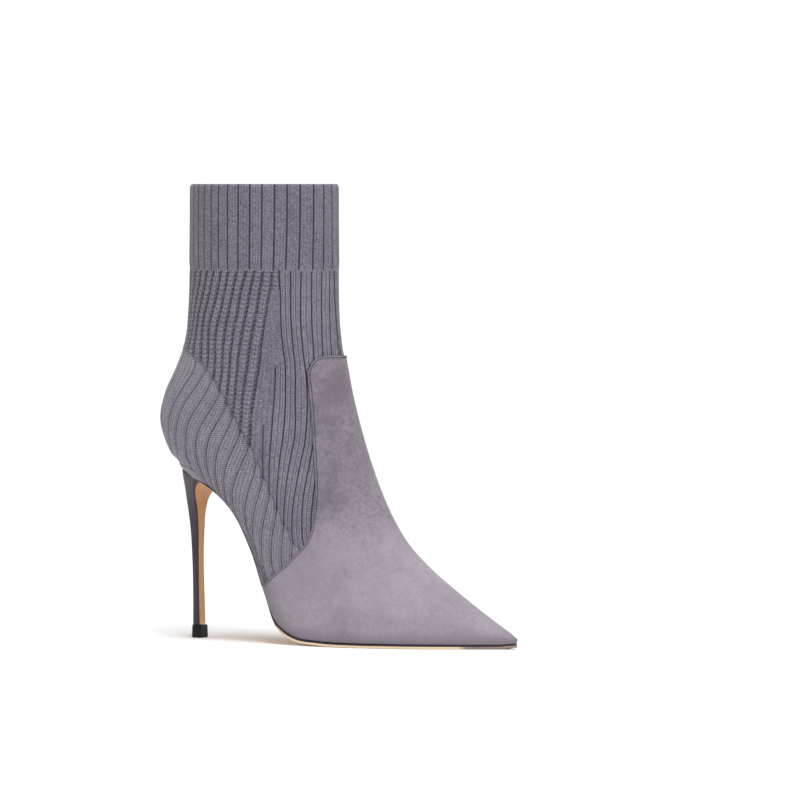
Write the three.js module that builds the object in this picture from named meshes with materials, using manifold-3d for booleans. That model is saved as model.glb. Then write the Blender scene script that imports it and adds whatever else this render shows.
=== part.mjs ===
// Sock boot with a covered stiletto heel, right foot, millimetres, +Z up, +X to the toe, +Y to the inner side.
// The origin is the centre of the ground face of the heel tip.
import * as THREE from "three";
import { mergeVertices } from "three/addons/utils/BufferGeometryUtils.js";
import ManifoldModule from "manifold-3d";

const kernel = await ManifoldModule();
kernel.setup();
const { Manifold, Mesh: SolidMesh } = kernel;

// Sizes of the whole boot
const reach = 214;            // heel tip centre to the point of the toe
const heelHeight = 100;       // ground to the seat of the upper
const heelBack = 23.2;        // how far the heel curve stands behind the heel tip centre
const ballWidth = 75;         // widest part of the forefoot
const instep = 80;            // sole to the top of the foot over the arch
const shaftHeight = 172;      // seat to the collar edge
const collarFront = 92.2;     // heel tip centre to the front of the collar
const collarWidth = 66;       // across the collar

// Walls, gaps and small sizes
const gap = 0.3;              // left between pieces that meet
const knitWall = 1.9;         // knit with its lining
const suedeWall = 1.0;        // vamp overlay
const bandWall = 0.8;         // strip round the heel seat
const bandHeight = 3.4;
const cuffHeight = 52;
const cuffStep = 0.5;         // how far the cuff stands out from the knit
const margin = 9;             // upper turned in under the foot
const foreSole = 2.4;         // outsole under the forefoot
const waistSole = 1.8;        // outsole along the arch
const soleEdge = 0.7;         // outsole past the feather line
const boardWall = 1.8;        // insole board
const tipHeight = 7.8;        // heel tip
const tipSize = 8.2;          // heel tip across
const breastWall = 1.0;       // leather down the front of the heel

// Sections of the foot from the toe to the seat.
// run: bottom point, share of reach.          rise: bottom point over the flat sole, share of heelHeight.
// lean, deep: top point from the bottom point, forward and up, shares of instep.
// out, inn: outer and inner half width, shares of ballWidth.
// widest: where the section is widest, share of its depth.
// feather: half width of the flat bottom, share of the half width.
// round: roundness of the top.                sink: how far the knit lies under the vamp, share of the vamp.
const foot = [
  { run: 0.9963, rise: 0.009, lean: 0.010, deep: 0.033, out: 0.021, inn: 0.021, widest: 0.50, feather: 0.80, round: 2.00, sink: 0.3 },
  { run: 0.9696, rise: 0.002, lean: 0.029, deep: 0.081, out: 0.064, inn: 0.059, widest: 0.40, feather: 0.90, round: 2.00, sink: 0.8 },
  { run: 0.9252, rise: 0.000, lean: 0.033, deep: 0.156, out: 0.136, inn: 0.112, widest: 0.36, feather: 0.92, round: 1.95, sink: 1 },
  { run: 0.8598, rise: 0.000, lean: 0.045, deep: 0.259, out: 0.240, inn: 0.187, widest: 0.34, feather: 0.94, round: 1.90, sink: 1 },
  { run: 0.7757, rise: 0.000, lean: 0.068, deep: 0.396, out: 0.357, inn: 0.287, widest: 0.32, feather: 0.95, round: 1.80, sink: 1 },
  { run: 0.6822, rise: 0.000, lean: 0.093, deep: 0.561, out: 0.451, inn: 0.400, widest: 0.30, feather: 0.95, round: 1.75, sink: 1 },
  { run: 0.5794, rise: 0.000, lean: 0.183, deep: 0.744, out: 0.501, inn: 0.473, widest: 0.28, feather: 0.95, round: 1.70, sink: 1 },
  { run: 0.4766, rise: 0.005, lean: 0.320, deep: 0.955, out: 0.499, inn: 0.480, widest: 0.28, feather: 0.95, round: 1.75, sink: 1 },
  { run: 0.3949, rise: 0.025, lean: 0.451, deep: 1.125, out: 0.475, inn: 0.453, widest: 0.30, feather: 0.94, round: 1.80, sink: 1 },
  { run: 0.3341, rise: 0.097, lean: 0.541, deep: 1.220, out: 0.437, inn: 0.420, widest: 0.34, feather: 0.92, round: 1.85, sink: 0.9 },
  { run: 0.2850, rise: 0.283, lean: 0.607, deep: 1.169, out: 0.408, inn: 0.393, widest: 0.38, feather: 0.88, round: 1.90, sink: 0.7 },
  { run: 0.2336, rise: 0.543, lean: 0.685, deep: 1.025, out: 0.392, inn: 0.380, widest: 0.42, feather: 0.84, round: 1.95, sink: 0.5 },
  { run: 0.1659, rise: 0.779, lean: 0.819, deep: 0.893, out: 0.387, inn: 0.384, widest: 0.44, feather: 0.82, round: 2.00, sink: 0.3 },
  { run: 0.0841, rise: 0.915, lean: 1.008, deep: 0.860, out: 0.395, inn: 0.395, widest: 0.46, feather: 0.82, round: 2.00, sink: 0.1 },
];

// Sections of the heel and the leg from the seat to the collar.
// back: back point, share of heelBack.        up: back point over the seat, share of shaftHeight.
// front: front point, share of collarFront.   high: front point over the seat, share of shaftHeight.
// half: half width, share of collarWidth.
const leg = [
  { back: 0.172, up: -0.005, front: 1.052, high: 0.413, half: 0.464, widest: 0.46, feather: 0.72, sink: 0 },
  { back: -0.241, up: 0.006, front: 1.041, high: 0.442, half: 0.472, widest: 0.46, feather: 0.50, sink: 0 },
  { back: -0.448, up: 0.010, front: 1.037, high: 0.460, half: 0.476, widest: 0.46, feather: 0.26, sink: 0 },
  { back: -0.543, up: 0.028, front: 1.033, high: 0.477, half: 0.479, widest: 0.46, feather: 0.04, sink: 0 },
  { back: -0.819, up: 0.093, front: 1.025, high: 0.515, half: 0.488, widest: 0.46, feather: 0, sink: 0 },
  { back: -1.000, up: 0.169, front: 1.020, high: 0.552, half: 0.494, widest: 0.47, feather: 0, sink: 0 },
  { back: -0.853, up: 0.262, front: 1.014, high: 0.599, half: 0.500, widest: 0.48, feather: 0, sink: 0 },
  { back: -0.500, up: 0.355, front: 1.010, high: 0.645, half: 0.500, widest: 0.49, feather: 0, sink: 0 },
  { back: -0.224, up: 0.448, front: 1.007, high: 0.698, half: 0.500, widest: 0.50, feather: 0, sink: 0 },
  { back: -0.121, up: 0.558, front: 1.003, high: 0.767, half: 0.500, widest: 0.50, feather: 0, sink: 0 },
  { back: -0.078, up: 0.767, front: 1.001, high: 0.872, half: 0.500, widest: 0.50, feather: 0, sink: 0 },
  { back: -0.060, up: 1.000, front: 1.000, high: 1.000, half: 0.500, widest: 0.50, feather: 0, sink: 0 },
];

// Level sections of the heel: height share of heelHeight, back and front share of tipSize, half share of tipSize.
const heelRows = [
  { height: 0.081, back: -0.40, front: 0.32, half: 0.44 },
  { height: 0.26, back: -0.40, front: 0.26, half: 0.43 },
  { height: 0.50, back: -0.49, front: 0.21, half: 0.39 },
  { height: 0.66, back: -0.62, front: 0.24, half: 0.47 },
  { height: 0.78, back: -0.80, front: 0.27, half: 0.68 },
  { height: 0.85, back: -0.93, front: 0.35, half: 1.00 },
  { height: 0.90, back: -1.07, front: 0.63, half: 1.52 },
  { height: 0.94, back: -1.22, front: 1.16, half: 2.38 },
  { height: 0.98, back: -1.40, front: 1.83, half: 2.98 },
  { height: 1.03, back: -1.46, front: 2.60, half: 3.10 },
];

// Edge of the vamp seen from the side, from the sole up to the top of its tab.
// along: share of reach, up: share of heelHeight + shaftHeight.
const seam = [
  { along: 0.215, up: 0.085 },
  { along: 0.278, up: 0.126 },
  { along: 0.322, up: 0.152 },
  { along: 0.364, up: 0.176 },
  { along: 0.400, up: 0.201 },
  { along: 0.425, up: 0.222 },
  { along: 0.437, up: 0.240 },
  { along: 0.442, up: 0.266 },
  { along: 0.445, up: 0.327 },
  { along: 0.441, up: 0.365 },
  { along: 0.434, up: 0.414 },
  { along: 0.423, up: 0.490 },
  { along: 0.410, up: 0.560 },
  { along: 0.404, up: 0.588 },
  { along: 0.407, up: 0.602 },
  { along: 0.413, up: 0.614 },
  { along: 0.423, up: 0.622 },
  { along: 0.437, up: 0.626 },
];

const flat = gap + foreSole;
const collarTop = heelHeight + shaftHeight;
const names = ["bx", "bz", "tx", "tz", "out", "inn", "widest", "feather", "round", "sink"];
const rows = [
  ...foot.map((r) => {
    const bx = r.run * reach;
    const bz = flat + r.rise * heelHeight;
    return {
      bx,
      bz,
      tx: bx + r.lean * instep,
      tz: bz + r.deep * instep,
      out: r.out * ballWidth,
      inn: r.inn * ballWidth,
      widest: r.widest,
      feather: r.feather,
      round: r.round,
      sink: r.sink,
    };
  }),
  ...leg.map((r) => ({
    bx: r.back * heelBack,
    bz: heelHeight + r.up * shaftHeight,
    tx: r.front * collarFront,
    tz: heelHeight + r.high * shaftHeight,
    out: r.half * collarWidth,
    inn: r.half * collarWidth,
    widest: r.widest,
    feather: r.feather,
    round: 2,
    sink: r.sink,
  })),
];

// Distance run by the sections, used as the parameter from toe to collar
const knot = [0];
for (let i = 1; i < rows.length; i++) {
  const a = rows[i - 1];
  const b = rows[i];
  const step = Math.hypot(b.bx - a.bx, b.bz - a.bz, b.tx - a.tx, b.tz - a.tz) / Math.SQRT2;
  knot.push(knot[i - 1] + step);
}
const last = knot.length - 1;
const whole = knot[last];

function slope(name, i) {
  const d = (k) => (rows[k + 1][name] - rows[k][name]) / (knot[k + 1] - knot[k]);
  if (i === 0) return d(0);
  if (i === last) return d(last - 1);
  const h0 = knot[i] - knot[i - 1];
  const h1 = knot[i + 1] - knot[i];
  return (d(i - 1) * h1 + d(i) * h0) / (h0 + h1);
}

// One section at distance t, all columns through smooth curves
function rowAt(t) {
  let i = 0;
  while (i < last - 1 && t > knot[i + 1]) i++;
  const h = knot[i + 1] - knot[i];
  const s = (t - knot[i]) / h;
  const row = {};
  for (const name of names) {
    const a = rows[i][name];
    const b = rows[i + 1][name];
    const ma = slope(name, i) * h;
    const mb = slope(name, i + 1) * h;
    row[name] =
      (2 * s ** 3 - 3 * s ** 2 + 1) * a +
      (s ** 3 - 2 * s ** 2 + s) * ma +
      (-2 * s ** 3 + 3 * s ** 2) * b +
      (s ** 3 - s ** 2) * mb;
  }
  row.feather = Math.max(row.feather, 0.03);
  row.sink = Math.min(Math.max(row.sink, 0), 1);
  return row;
}

// Section with its own directions: d from bottom to top, n square to the sole line
function measured(t) {
  const e = 0.5;
  const row = rowAt(t);
  const a = rowAt(Math.max(t - e, 0));
  const b = rowAt(Math.min(t + e, whole));
  const depth = Math.hypot(row.tx - row.bx, row.tz - row.bz);
  const dx = (row.tx - row.bx) / depth;
  const dz = (row.tz - row.bz) / depth;
  const square = (x0, z0, x1, z1) => {
    const l = Math.hypot(x1 - x0, z1 - z0) || 1;
    return [(z1 - z0) / l, -(x1 - x0) / l];
  };
  const n = square(a.bx, a.bz, b.bx, b.bz);
  const m = square(a.tx, a.tz, b.tx, b.tz);
  const run = Math.hypot((a.bx + a.tx - b.bx - b.tx) / 2, (a.bz + a.tz - b.bz - b.tz) / 2) || 1;
  return {
    ...row,
    depth,
    dx,
    dz,
    nx: n[0],
    nz: n[1],
    low: 1 / Math.max(n[0] * dx + n[1] * dz, 0.35),
    high: 1 / Math.max(m[0] * dx + m[1] * dz, 0.35),
    taper: Math.hypot(1, (a.out - b.out) / run),
  };
}

// Every piece is drawn on the same stations, so that facing walls keep their gap
const stationStep = 10.5;
const grid = [0];
for (let i = 0; i < last; i++) {
  const length = knot[i + 1] - knot[i];
  const count = Math.max(1, Math.round(length / stationStep));
  for (let k = 1; k <= count; k++) grid.push(knot[i] + (length * k) / count);
}
const stations = grid.map(measured);

function stationAt(t) {
  let i = 0;
  while (i < grid.length - 2 && t >= grid[i + 1]) i++;
  const s = (t - grid[i]) / (grid[i + 1] - grid[i]);
  const row = {};
  for (const key of Object.keys(stations[i])) row[key] = stations[i][key] * (1 - s) + stations[i + 1][key] * s;
  return row;
}

// Stations from a to b with both ends kept
function between(a, b) {
  return [a, ...grid.filter((t) => t > a + 0.4 && t < b - 0.4), b];
}

const half = 13;

// Closed loop of one section moved out by e; skirt draws its flat bottom further down
function sectionLoop(t, e, skirt = 0) {
  const s = stationAt(t);
  const move = e - s.sink * (gap + suedeWall);
  const flatShare = Math.min(s.feather / 0.3, 1);
  const lower = (e < 0 ? e : e * (1 - flatShare)) * s.low;
  const upper = move * s.high;
  const depth = s.depth + lower + upper;
  const bx = s.bx - s.dx * lower;
  const bz = s.bz - s.dz * lower;
  const widest = (s.widest * s.depth + lower) / depth;
  const side = (width) => {
    const w = width + move * s.taper;
    const f = Math.max((s.feather * width + move * s.taper * flatShare) / w, 0.03);
    const fine = [];
    const steps = 160;
    let length = 0;
    for (let k = 0; k <= steps; k++) {
      const a = (Math.PI * k) / steps;
      const c = Math.abs(Math.cos(a));
      const low = k <= steps / 2;
      const h = low ? widest * (1 - c) : widest + (1 - widest) * c ** (2 / s.round);
      const y = low ? f + (1 - f) * Math.sin(a) : Math.max(Math.sin(a), 0) ** (2 / s.round);
      if (k > 0) length += Math.hypot((h - fine[k - 1].h) * depth, (y - fine[k - 1].y) * w);
      fine.push({ h, y, length });
    }
    const out = [];
    let k = 0;
    for (let j = 0; j <= half; j++) {
      const want = (length * j) / half;
      while (k < steps - 1 && fine[k + 1].length < want) k++;
      const p = fine[k];
      const q = fine[k + 1];
      const r = (want - p.length) / (q.length - p.length || 1);
      out.push([p.h + (q.h - p.h) * r, (p.y + (q.y - p.y) * r) * w]);
    }
    out[half] = [1, 0];
    return out;
  };
  const point = (h, y) => [bx + s.dx * h * depth, y, bz + s.dz * h * depth];
  const outer = side(s.out);
  const inner = side(s.inn);
  const loop = outer.map(([h, y]) => point(h, -y));
  for (let j = half - 1; j >= 0; j--) loop.push(point(inner[j][0], inner[j][1]));
  const drop = skirt * flatShare;
  const under = (y) => [bx - s.nx * drop, y, bz - s.nz * drop];
  if (skirt > 0) {
    loop.push(under(inner[0][1]), under(0), under(-outer[0][1]));
  } else {
    loop.push(point(0, 0));
  }
  return loop;
}

// Closed body through loops that all have the same number of points
function loft(loops) {
  const count = loops[0].length;
  const points = loops.flat();
  const tris = [];
  for (let i = 0; i < loops.length - 1; i++) {
    for (let j = 0; j < count; j++) {
      const k = (j + 1) % count;
      const a = i * count + j;
      const b = i * count + k;
      const c = (i + 1) * count + k;
      const d = (i + 1) * count + j;
      tris.push([a, b, c], [a, c, d]);
    }
  }
  const cap = (start, flip) => {
    const loop = points.slice(start, start + count);
    const centre = loop.reduce((m, p) => [m[0] + p[0] / count, m[1] + p[1] / count, m[2] + p[2] / count], [0, 0, 0]);
    const c = points.length;
    points.push(centre);
    for (let j = 0; j < count; j++) {
      const k = (j + 1) % count;
      tris.push(flip ? [start + k, start + j, c] : [start + j, start + k, c]);
    }
  };
  cap(0, true);
  cap((loops.length - 1) * count, false);
  return solidFrom(points, tris);
}

function solidFrom(points, tris) {
  const volume = tris.reduce((v, [a, b, c]) => {
    const [p, q, r] = [points[a], points[b], points[c]];
    const cross = [q[1] * r[2] - q[2] * r[1], q[2] * r[0] - q[0] * r[2], q[0] * r[1] - q[1] * r[0]];
    return v + p[0] * cross[0] + p[1] * cross[1] + p[2] * cross[2];
  }, 0);
  const order = volume < 0 ? tris.map(([a, b, c]) => [a, c, b]) : tris;
  const mesh = new SolidMesh({
    numProp: 3,
    vertProperties: new Float32Array(points.flat()),
    triVerts: new Uint32Array(order.flat()),
  });
  mesh.merge();
  return new Manifold(mesh);
}

// Body of the boot moved out by e, from distance a to b along the sections
function form(a, b, e, skirt = 0) {
  return between(a, b).map((t) => sectionLoop(t, e, skirt));
}

// Small rounded point in front of the first loop
function nosed(loops, forward) {
  const first = loops[0];
  const n = first.length;
  const c = first.reduce((m, p) => [m[0] + p[0] / n, m[1] + p[1] / n, m[2] + p[2] / n], [0, 0, 0]);
  const nose = first.map((p) => [c[0] + forward + (p[0] - c[0]) * 0.5, c[1] + (p[1] - c[1]) * 0.5, c[2] + (p[2] - c[2]) * 0.5]);
  return [nose, ...loops];
}

// Rises the last loop past the collar, for the cutting forms
function raised(loops, up) {
  const top = loops[loops.length - 1];
  return [...loops, top.map((p) => [p[0], p[1], p[2] + up])];
}

// Strip of material along the sole line between two distances from it
function strip(ts, low, high, width) {
  const loops = ts.map((t) => {
    const s = stationAt(t);
    const [a, b] = [low(s), high(s)];
    const [left, right, trim] = width(s);
    const at = (y, h) => [s.bx + s.nx * h, y, s.bz + s.nz * h];
    const loop = [at(-left, b), at(-left, a + trim), at(-left + trim, a), at(right - trim, a), at(right, a + trim), at(right, b)];
    return loop;
  });
  return loft(loops);
}

// Distance along the sections where the sole line stands at this share of reach
function whereRun(share) {
  let best = 0;
  for (let i = 0; i <= 2000; i++) {
    const t = (knot[foot.length + 3] * i) / 2000;
    if (rowAt(t).bx > share * reach) best = t;
  }
  return best;
}

function solidOf(geometry) {
  geometry.deleteAttribute("normal");
  geometry.deleteAttribute("uv");
  const merged = mergeVertices(geometry);
  const p = merged.attributes.position.array;
  const n = merged.index.array;
  const points = Array.from({ length: p.length / 3 }, (_, i) => [p[3 * i], p[3 * i + 1], p[3 * i + 2]]);
  const tris = Array.from({ length: n.length / 3 }, (_, i) => [n[3 * i], n[3 * i + 1], n[3 * i + 2]]);
  return solidFrom(points, tris);
}

// Flat prism across the boot from a side view outline
function sidePrism(outline, across) {
  const shape = new THREE.Shape(outline.map(([x, z]) => new THREE.Vector2(x, z)));
  const body = new THREE.ExtrudeGeometry(shape, { depth: 2 * across, bevelEnabled: false });
  body.rotateX(Math.PI / 2);
  body.translate(0, across, 0);
  return solidOf(body);
}

const sink = gap + suedeWall;

// Upper: one knit sock, a wall inside and out, open at the collar and underneath
const outside = loft(nosed(form(0, whole, 0), 0.5));
const thick = loft(form(whereRun(0.3), whole, cuffStep));
const cuffBox = new THREE.BoxGeometry(2 * reach, 3 * collarWidth, cuffHeight + 10);
cuffBox.translate(0, 0, collarTop - cuffHeight / 2 + 5);
const cuffBlock = solidOf(cuffBox);
const cuff = thick.intersect(cuffBlock);
const puffEnd = whereRun(0.915);
const inside = loft(raised(form(puffEnd, whole, -knitWall), 6));
const mouthStart = whereRun(0.86);
const mouthEnd = whereRun(-0.02);
const mouthHalf = (s, width) => Math.max(s.feather * width - sink * s.sink - margin, 1.5);
const opening = strip(
  between(mouthStart, mouthEnd),
  () => -4,
  () => knitWall + 2,
  (s) => [mouthHalf(s, s.out), mouthHalf(s, s.inn), 0.2],
);
const upper = outside.add(cuff).subtract(inside).subtract(opening);

// Vamp: suede over the forefoot, cut between two larger forms of the same foot
const vampEnd = knot[foot.length + 4];
const vampOut = loft(nosed(form(0, vampEnd, sink), 0.5 + suedeWall));
const vampIn = loft(nosed(form(0, vampEnd, gap, 4), 0.5 + gap * 0.5));
const seamLine = seam.map((p) => [p.along * reach, p.up * collarTop]);
const tabTop = seamLine[seamLine.length - 1];
const vampSide = sidePrism(
  [
    [0.19 * reach, -30],
    [0.19 * reach, 0.06 * collarTop],
    ...seamLine,
    [tabTop[0] + 60, tabTop[1]],
    [reach + 60, tabTop[1]],
    [reach + 60, -30],
  ],
  80,
);
const vamp = vampOut.subtract(vampIn).intersect(vampSide);

// Band round the heel seat, cut the same way
const bandFrom = whereRun(0.16);
const bandTo = knot[foot.length + 5];
const bandOut = loft(form(bandFrom, bandTo, gap + bandWall));
const bandIn = loft(form(bandFrom, bandTo, gap, 0.5));
const turn = rows[foot.length + 2];
const seatLine = [rows[foot.length - 1], rows[foot.length], rows[foot.length + 1], turn].map((r) => [r.bx, r.bz]);
const bandFront = 0.105 * reach;
const bandSide = sidePrism(
  [
    [-heelBack - 20, turn.bz],
    [turn.bx, turn.bz],
    [turn.bx + 6, turn.bz - 8],
    [bandFront, heelHeight - 30],
    [bandFront, rowAt(whereRun(0.105)).bz + bandHeight * 0.8],
    ...seatLine.map(([x, z]) => [x, z + bandHeight]),
    [-heelBack - 20, turn.bz + bandHeight],
  ],
  60,
);
const seatBand = bandOut.subtract(bandIn).intersect(bandSide);

// Outsole: thin leather from the toe to the front of the heel, flat under the forefoot
const soleWall = (s) => {
  const high = Math.min(Math.max((s.bz - flat) / (0.3 * heelHeight), 0), 1);
  return foreSole + (waistSole - foreSole) * high * high * (3 - 2 * high);
};
const soleTrim = (w) => Math.min(1.2, w * 0.4);
const soleHalf = (s, width) => s.feather * width + soleEdge;
const soleEnd = whereRun(0.052);
const tongueEnd = whereRun(0.01);
const soleBody = (grow) =>
  strip(
    between(0, soleEnd + grow),
    (s) => -gap - soleWall(s) - grow,
    () => -gap + grow,
    (s) => [soleHalf(s, s.out) + grow, soleHalf(s, s.inn) + grow, soleTrim(soleHalf(s, s.out))],
  );
const tongue = (grow) =>
  strip(
    between(soleEnd - 4, tongueEnd + grow),
    (s) => -gap - soleWall(s) - grow,
    () => -gap + grow,
    () => [12 + grow, 12 + grow, 0.4],
  );
const toeCap = (() => {
  const s = stationAt(0);
  const w = soleHalf(s, s.out);
  const top = s.bz - gap;
  const ring = (x, k) => [
    [x, -w * k, top],
    [x, -w * k, top - foreSole * 0.5],
    [x, -w * k * 0.6, top - foreSole],
    [x, w * k * 0.6, top - foreSole],
    [x, w * k, top - foreSole * 0.5],
    [x, w * k, top],
  ];
  return loft([ring(s.bx - 1, 1), ring(s.bx + 0.8, 0.95), ring(s.bx + 1.9, 0.5)]);
})();
const outsole = soleBody(0).add(tongue(0)).add(toeCap);

// Insole board on the turned margin, with a raised middle down through the opening
const boardLow = knitWall + gap;
const boardFrom = whereRun(0.90);
const boardTo = whereRun(-0.035);
const boardRoom = loft(form(whereRun(0.91), knot[foot.length + 5], -boardLow));
const board = strip(
  between(boardFrom, boardTo),
  () => knitWall,
  () => boardLow + boardWall,
  () => [50, 50, 0.1],
).intersect(boardRoom);
const boss = strip(
  between(mouthStart + 1, mouthEnd - 1),
  () => 0,
  () => boardLow + 0.4,
  (s) => [mouthHalf(s, s.out) - gap, mouthHalf(s, s.inn) - gap, 0.2],
);
const insole = board.add(boss);

// Level D of the heel: flat front, round back
function levelD(z, back, front, wide) {
  const loop = [];
  const count = 12;
  for (let i = 0; i <= count; i++) {
    const a = Math.PI * (i / count - 0.5);
    const c = Math.max(Math.cos(a), 0) ** (2 / 2.2);
    const n = Math.sign(Math.sin(a)) * Math.abs(Math.sin(a)) ** (2 / 2.2);
    loop.push([front - (front - back) * c, wide * n, z]);
  }
  return loop;
}
const heelTop = turn.bz - gap;
const heelLevels = heelRows.map((r) => ({ ...r, z: Math.min(r.height * heelHeight, heelTop) }));
heelLevels[0].z = tipHeight + gap;
heelLevels[heelLevels.length - 1].z = heelTop;
const overSeat = strip(
  between(whereRun(0.20), knot[foot.length + 2]),
  () => -gap,
  () => 14,
  () => [60, 60, 0.1],
);
const soleRoom = soleBody(gap).add(tongue(gap));
// Longer where the front leans, so that the leather keeps its wall and its gap
const leanAt = heelLevels.map((r, i) => {
  const p = heelLevels[Math.max(i - 1, 0)];
  const q = heelLevels[Math.min(i + 1, heelLevels.length - 1)];
  return Math.min(Math.hypot(1, ((q.front - p.front) * tipSize) / (q.z - p.z)), 2);
});
const heelBody = loft(
  heelLevels.map((r, i) =>
    levelD(r.z, r.back * tipSize, r.front * tipSize - (breastWall + gap) * leanAt[i], r.half * tipSize),
  ),
);
const heel = heelBody.subtract(overSeat).subtract(soleRoom);
const breastBody = loft(
  heelLevels.map((r, i) => {
    const front = r.front * tipSize;
    const w = r.half * tipSize;
    return [
      [front - breastWall * leanAt[i], -w, r.z],
      [front, -w, r.z],
      [front, w, r.z],
      [front - breastWall * leanAt[i], w, r.z],
    ];
  }),
);
const heelBreast = breastBody.subtract(overSeat).subtract(soleRoom);

// Heel tip
const tip = loft([
  levelD(0, -tipSize * 0.47, tipSize * 0.47, tipSize * 0.49),
  levelD(0.8, -tipSize / 2, tipSize / 2, tipSize / 2),
  levelD(tipHeight, -tipSize * 0.47, tipSize * 0.47, tipSize * 0.48),
]);

const colours = {
  knit: 0x77737d,
  suede: 0x8f8590,
  sole: 0xb08a62,
  heelSuede: 0x5a565e,
  tip: 0x1e1c22,
  board: 0x6a6068,
};

function piece(name, solid, colour) {
  const data = solid.getMesh();
  const geometry = new THREE.BufferGeometry();
  geometry.setAttribute("position", new THREE.BufferAttribute(new Float32Array(data.vertProperties), 3));
  geometry.setIndex(new THREE.BufferAttribute(new Uint32Array(data.triVerts), 1));
  geometry.computeVertexNormals();
  const mesh = new THREE.Mesh(geometry, new THREE.MeshStandardMaterial({ color: colour, roughness: 0.8 }));
  mesh.name = name;
  return mesh;
}

const boot = new THREE.Group();
boot.name = "sock_boot";
boot.add(
  piece("upper", upper, colours.knit),
  piece("vamp", vamp, colours.suede),
  piece("seat_band", seatBand, colours.suede),
  piece("outsole", outsole, colours.sole),
  piece("insole", insole, colours.board),
  piece("heel", heel, colours.heelSuede),
  piece("heel_breast", heelBreast, colours.sole),
  piece("heel_tip", tip, colours.tip),
);
export default boot;
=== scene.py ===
# %% [markdown]
# # A sock boot with a covered stiletto heel
# The boot is a knitted sock pulled over a last, a suede vamp sewn over the forefoot, a thin leather sole
# and a slim covered heel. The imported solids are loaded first, because every piece below has to sit where
# they sit.

import math

import bmesh
import bpy
import numpy as np
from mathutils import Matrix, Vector
from mathutils.bvhtree import BVHTree


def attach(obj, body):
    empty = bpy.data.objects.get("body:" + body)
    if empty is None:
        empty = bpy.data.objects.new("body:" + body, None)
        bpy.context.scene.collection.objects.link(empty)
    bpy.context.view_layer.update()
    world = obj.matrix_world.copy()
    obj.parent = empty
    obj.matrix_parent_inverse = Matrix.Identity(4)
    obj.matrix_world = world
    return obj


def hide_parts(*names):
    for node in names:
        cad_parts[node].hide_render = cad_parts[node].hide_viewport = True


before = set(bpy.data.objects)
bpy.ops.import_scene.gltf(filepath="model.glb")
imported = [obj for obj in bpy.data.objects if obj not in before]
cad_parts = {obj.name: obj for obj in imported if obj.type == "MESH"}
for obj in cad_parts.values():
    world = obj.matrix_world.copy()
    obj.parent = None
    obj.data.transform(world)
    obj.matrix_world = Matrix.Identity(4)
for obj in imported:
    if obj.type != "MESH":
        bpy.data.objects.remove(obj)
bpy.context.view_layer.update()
print("solids:", sorted(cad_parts))

# %% [markdown]
# ## The sizes
# A shoemaker starts from a few lengths of the last. The solids were drawn from these same lengths, so a
# surface that is worked out from them again, only finer, lies where the solids lie. All are in millimetres,
# and a mesh is turned into metres when it is written.

# %% Sizes in millimetres
REACH = 214.0
HEEL_HEIGHT = 100.0
HEEL_BACK = 23.2
BALL_WIDTH = 75.0
INSTEP = 80.0
SHAFT = 172.0
COLLAR_FRONT = 92.2
COLLAR_WIDTH = 66.0
GAP = 0.3
KNIT_WALL = 1.9
SUEDE_WALL = 1.0
BAND_WALL = 0.8
BAND_HEIGHT = 3.4
CUFF_HEIGHT = 52.0
CUFF_STEP = 0.5
FORE_SOLE = 2.4
WAIST_SOLE = 1.8
SOLE_EDGE = 0.7
BOARD_WALL = 1.8
TIP_HEIGHT = 7.8
TIP_SIZE = 8.2
BREAST_WALL = 1.0
SINK = GAP + SUEDE_WALL
FLAT = GAP + FORE_SOLE
COLLAR = HEEL_HEIGHT + SHAFT
CUFF_LOW = COLLAR - CUFF_HEIGHT

# %% [markdown]
# ## Sections of the last
# The foot is described by sections from the point of the toe back to the seat, and the leg by sections from
# the seat up to the collar. Each number is a share of a named size, so a row can be read and changed by
# hand.

# %% Rows of the foot and of the leg
# run, rise, lean, deep, outer half, inner half, widest, feather, roundness, sink
FOOT = np.array(
    [
        [0.9963, 0.009, 0.010, 0.033, 0.021, 0.021, 0.50, 0.80, 2.00, 0.3],
        [0.9696, 0.002, 0.029, 0.081, 0.064, 0.059, 0.40, 0.90, 2.00, 0.8],
        [0.9252, 0.000, 0.033, 0.156, 0.136, 0.112, 0.36, 0.92, 1.95, 1.0],
        [0.8598, 0.000, 0.045, 0.259, 0.240, 0.187, 0.34, 0.94, 1.90, 1.0],
        [0.7757, 0.000, 0.068, 0.396, 0.357, 0.287, 0.32, 0.95, 1.80, 1.0],
        [0.6822, 0.000, 0.093, 0.561, 0.451, 0.400, 0.30, 0.95, 1.75, 1.0],
        [0.5794, 0.000, 0.183, 0.744, 0.501, 0.473, 0.28, 0.95, 1.70, 1.0],
        [0.4766, 0.005, 0.320, 0.955, 0.499, 0.480, 0.28, 0.95, 1.75, 1.0],
        [0.3949, 0.025, 0.451, 1.125, 0.475, 0.453, 0.30, 0.94, 1.80, 1.0],
        [0.3341, 0.097, 0.541, 1.220, 0.437, 0.420, 0.34, 0.92, 1.85, 0.9],
        [0.2850, 0.283, 0.607, 1.169, 0.408, 0.393, 0.38, 0.88, 1.90, 0.7],
        [0.2336, 0.543, 0.685, 1.025, 0.392, 0.380, 0.42, 0.84, 1.95, 0.5],
        [0.1659, 0.779, 0.819, 0.893, 0.387, 0.384, 0.44, 0.82, 2.00, 0.3],
        [0.0841, 0.915, 1.008, 0.860, 0.395, 0.395, 0.46, 0.82, 2.00, 0.1],
    ]
)
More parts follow.
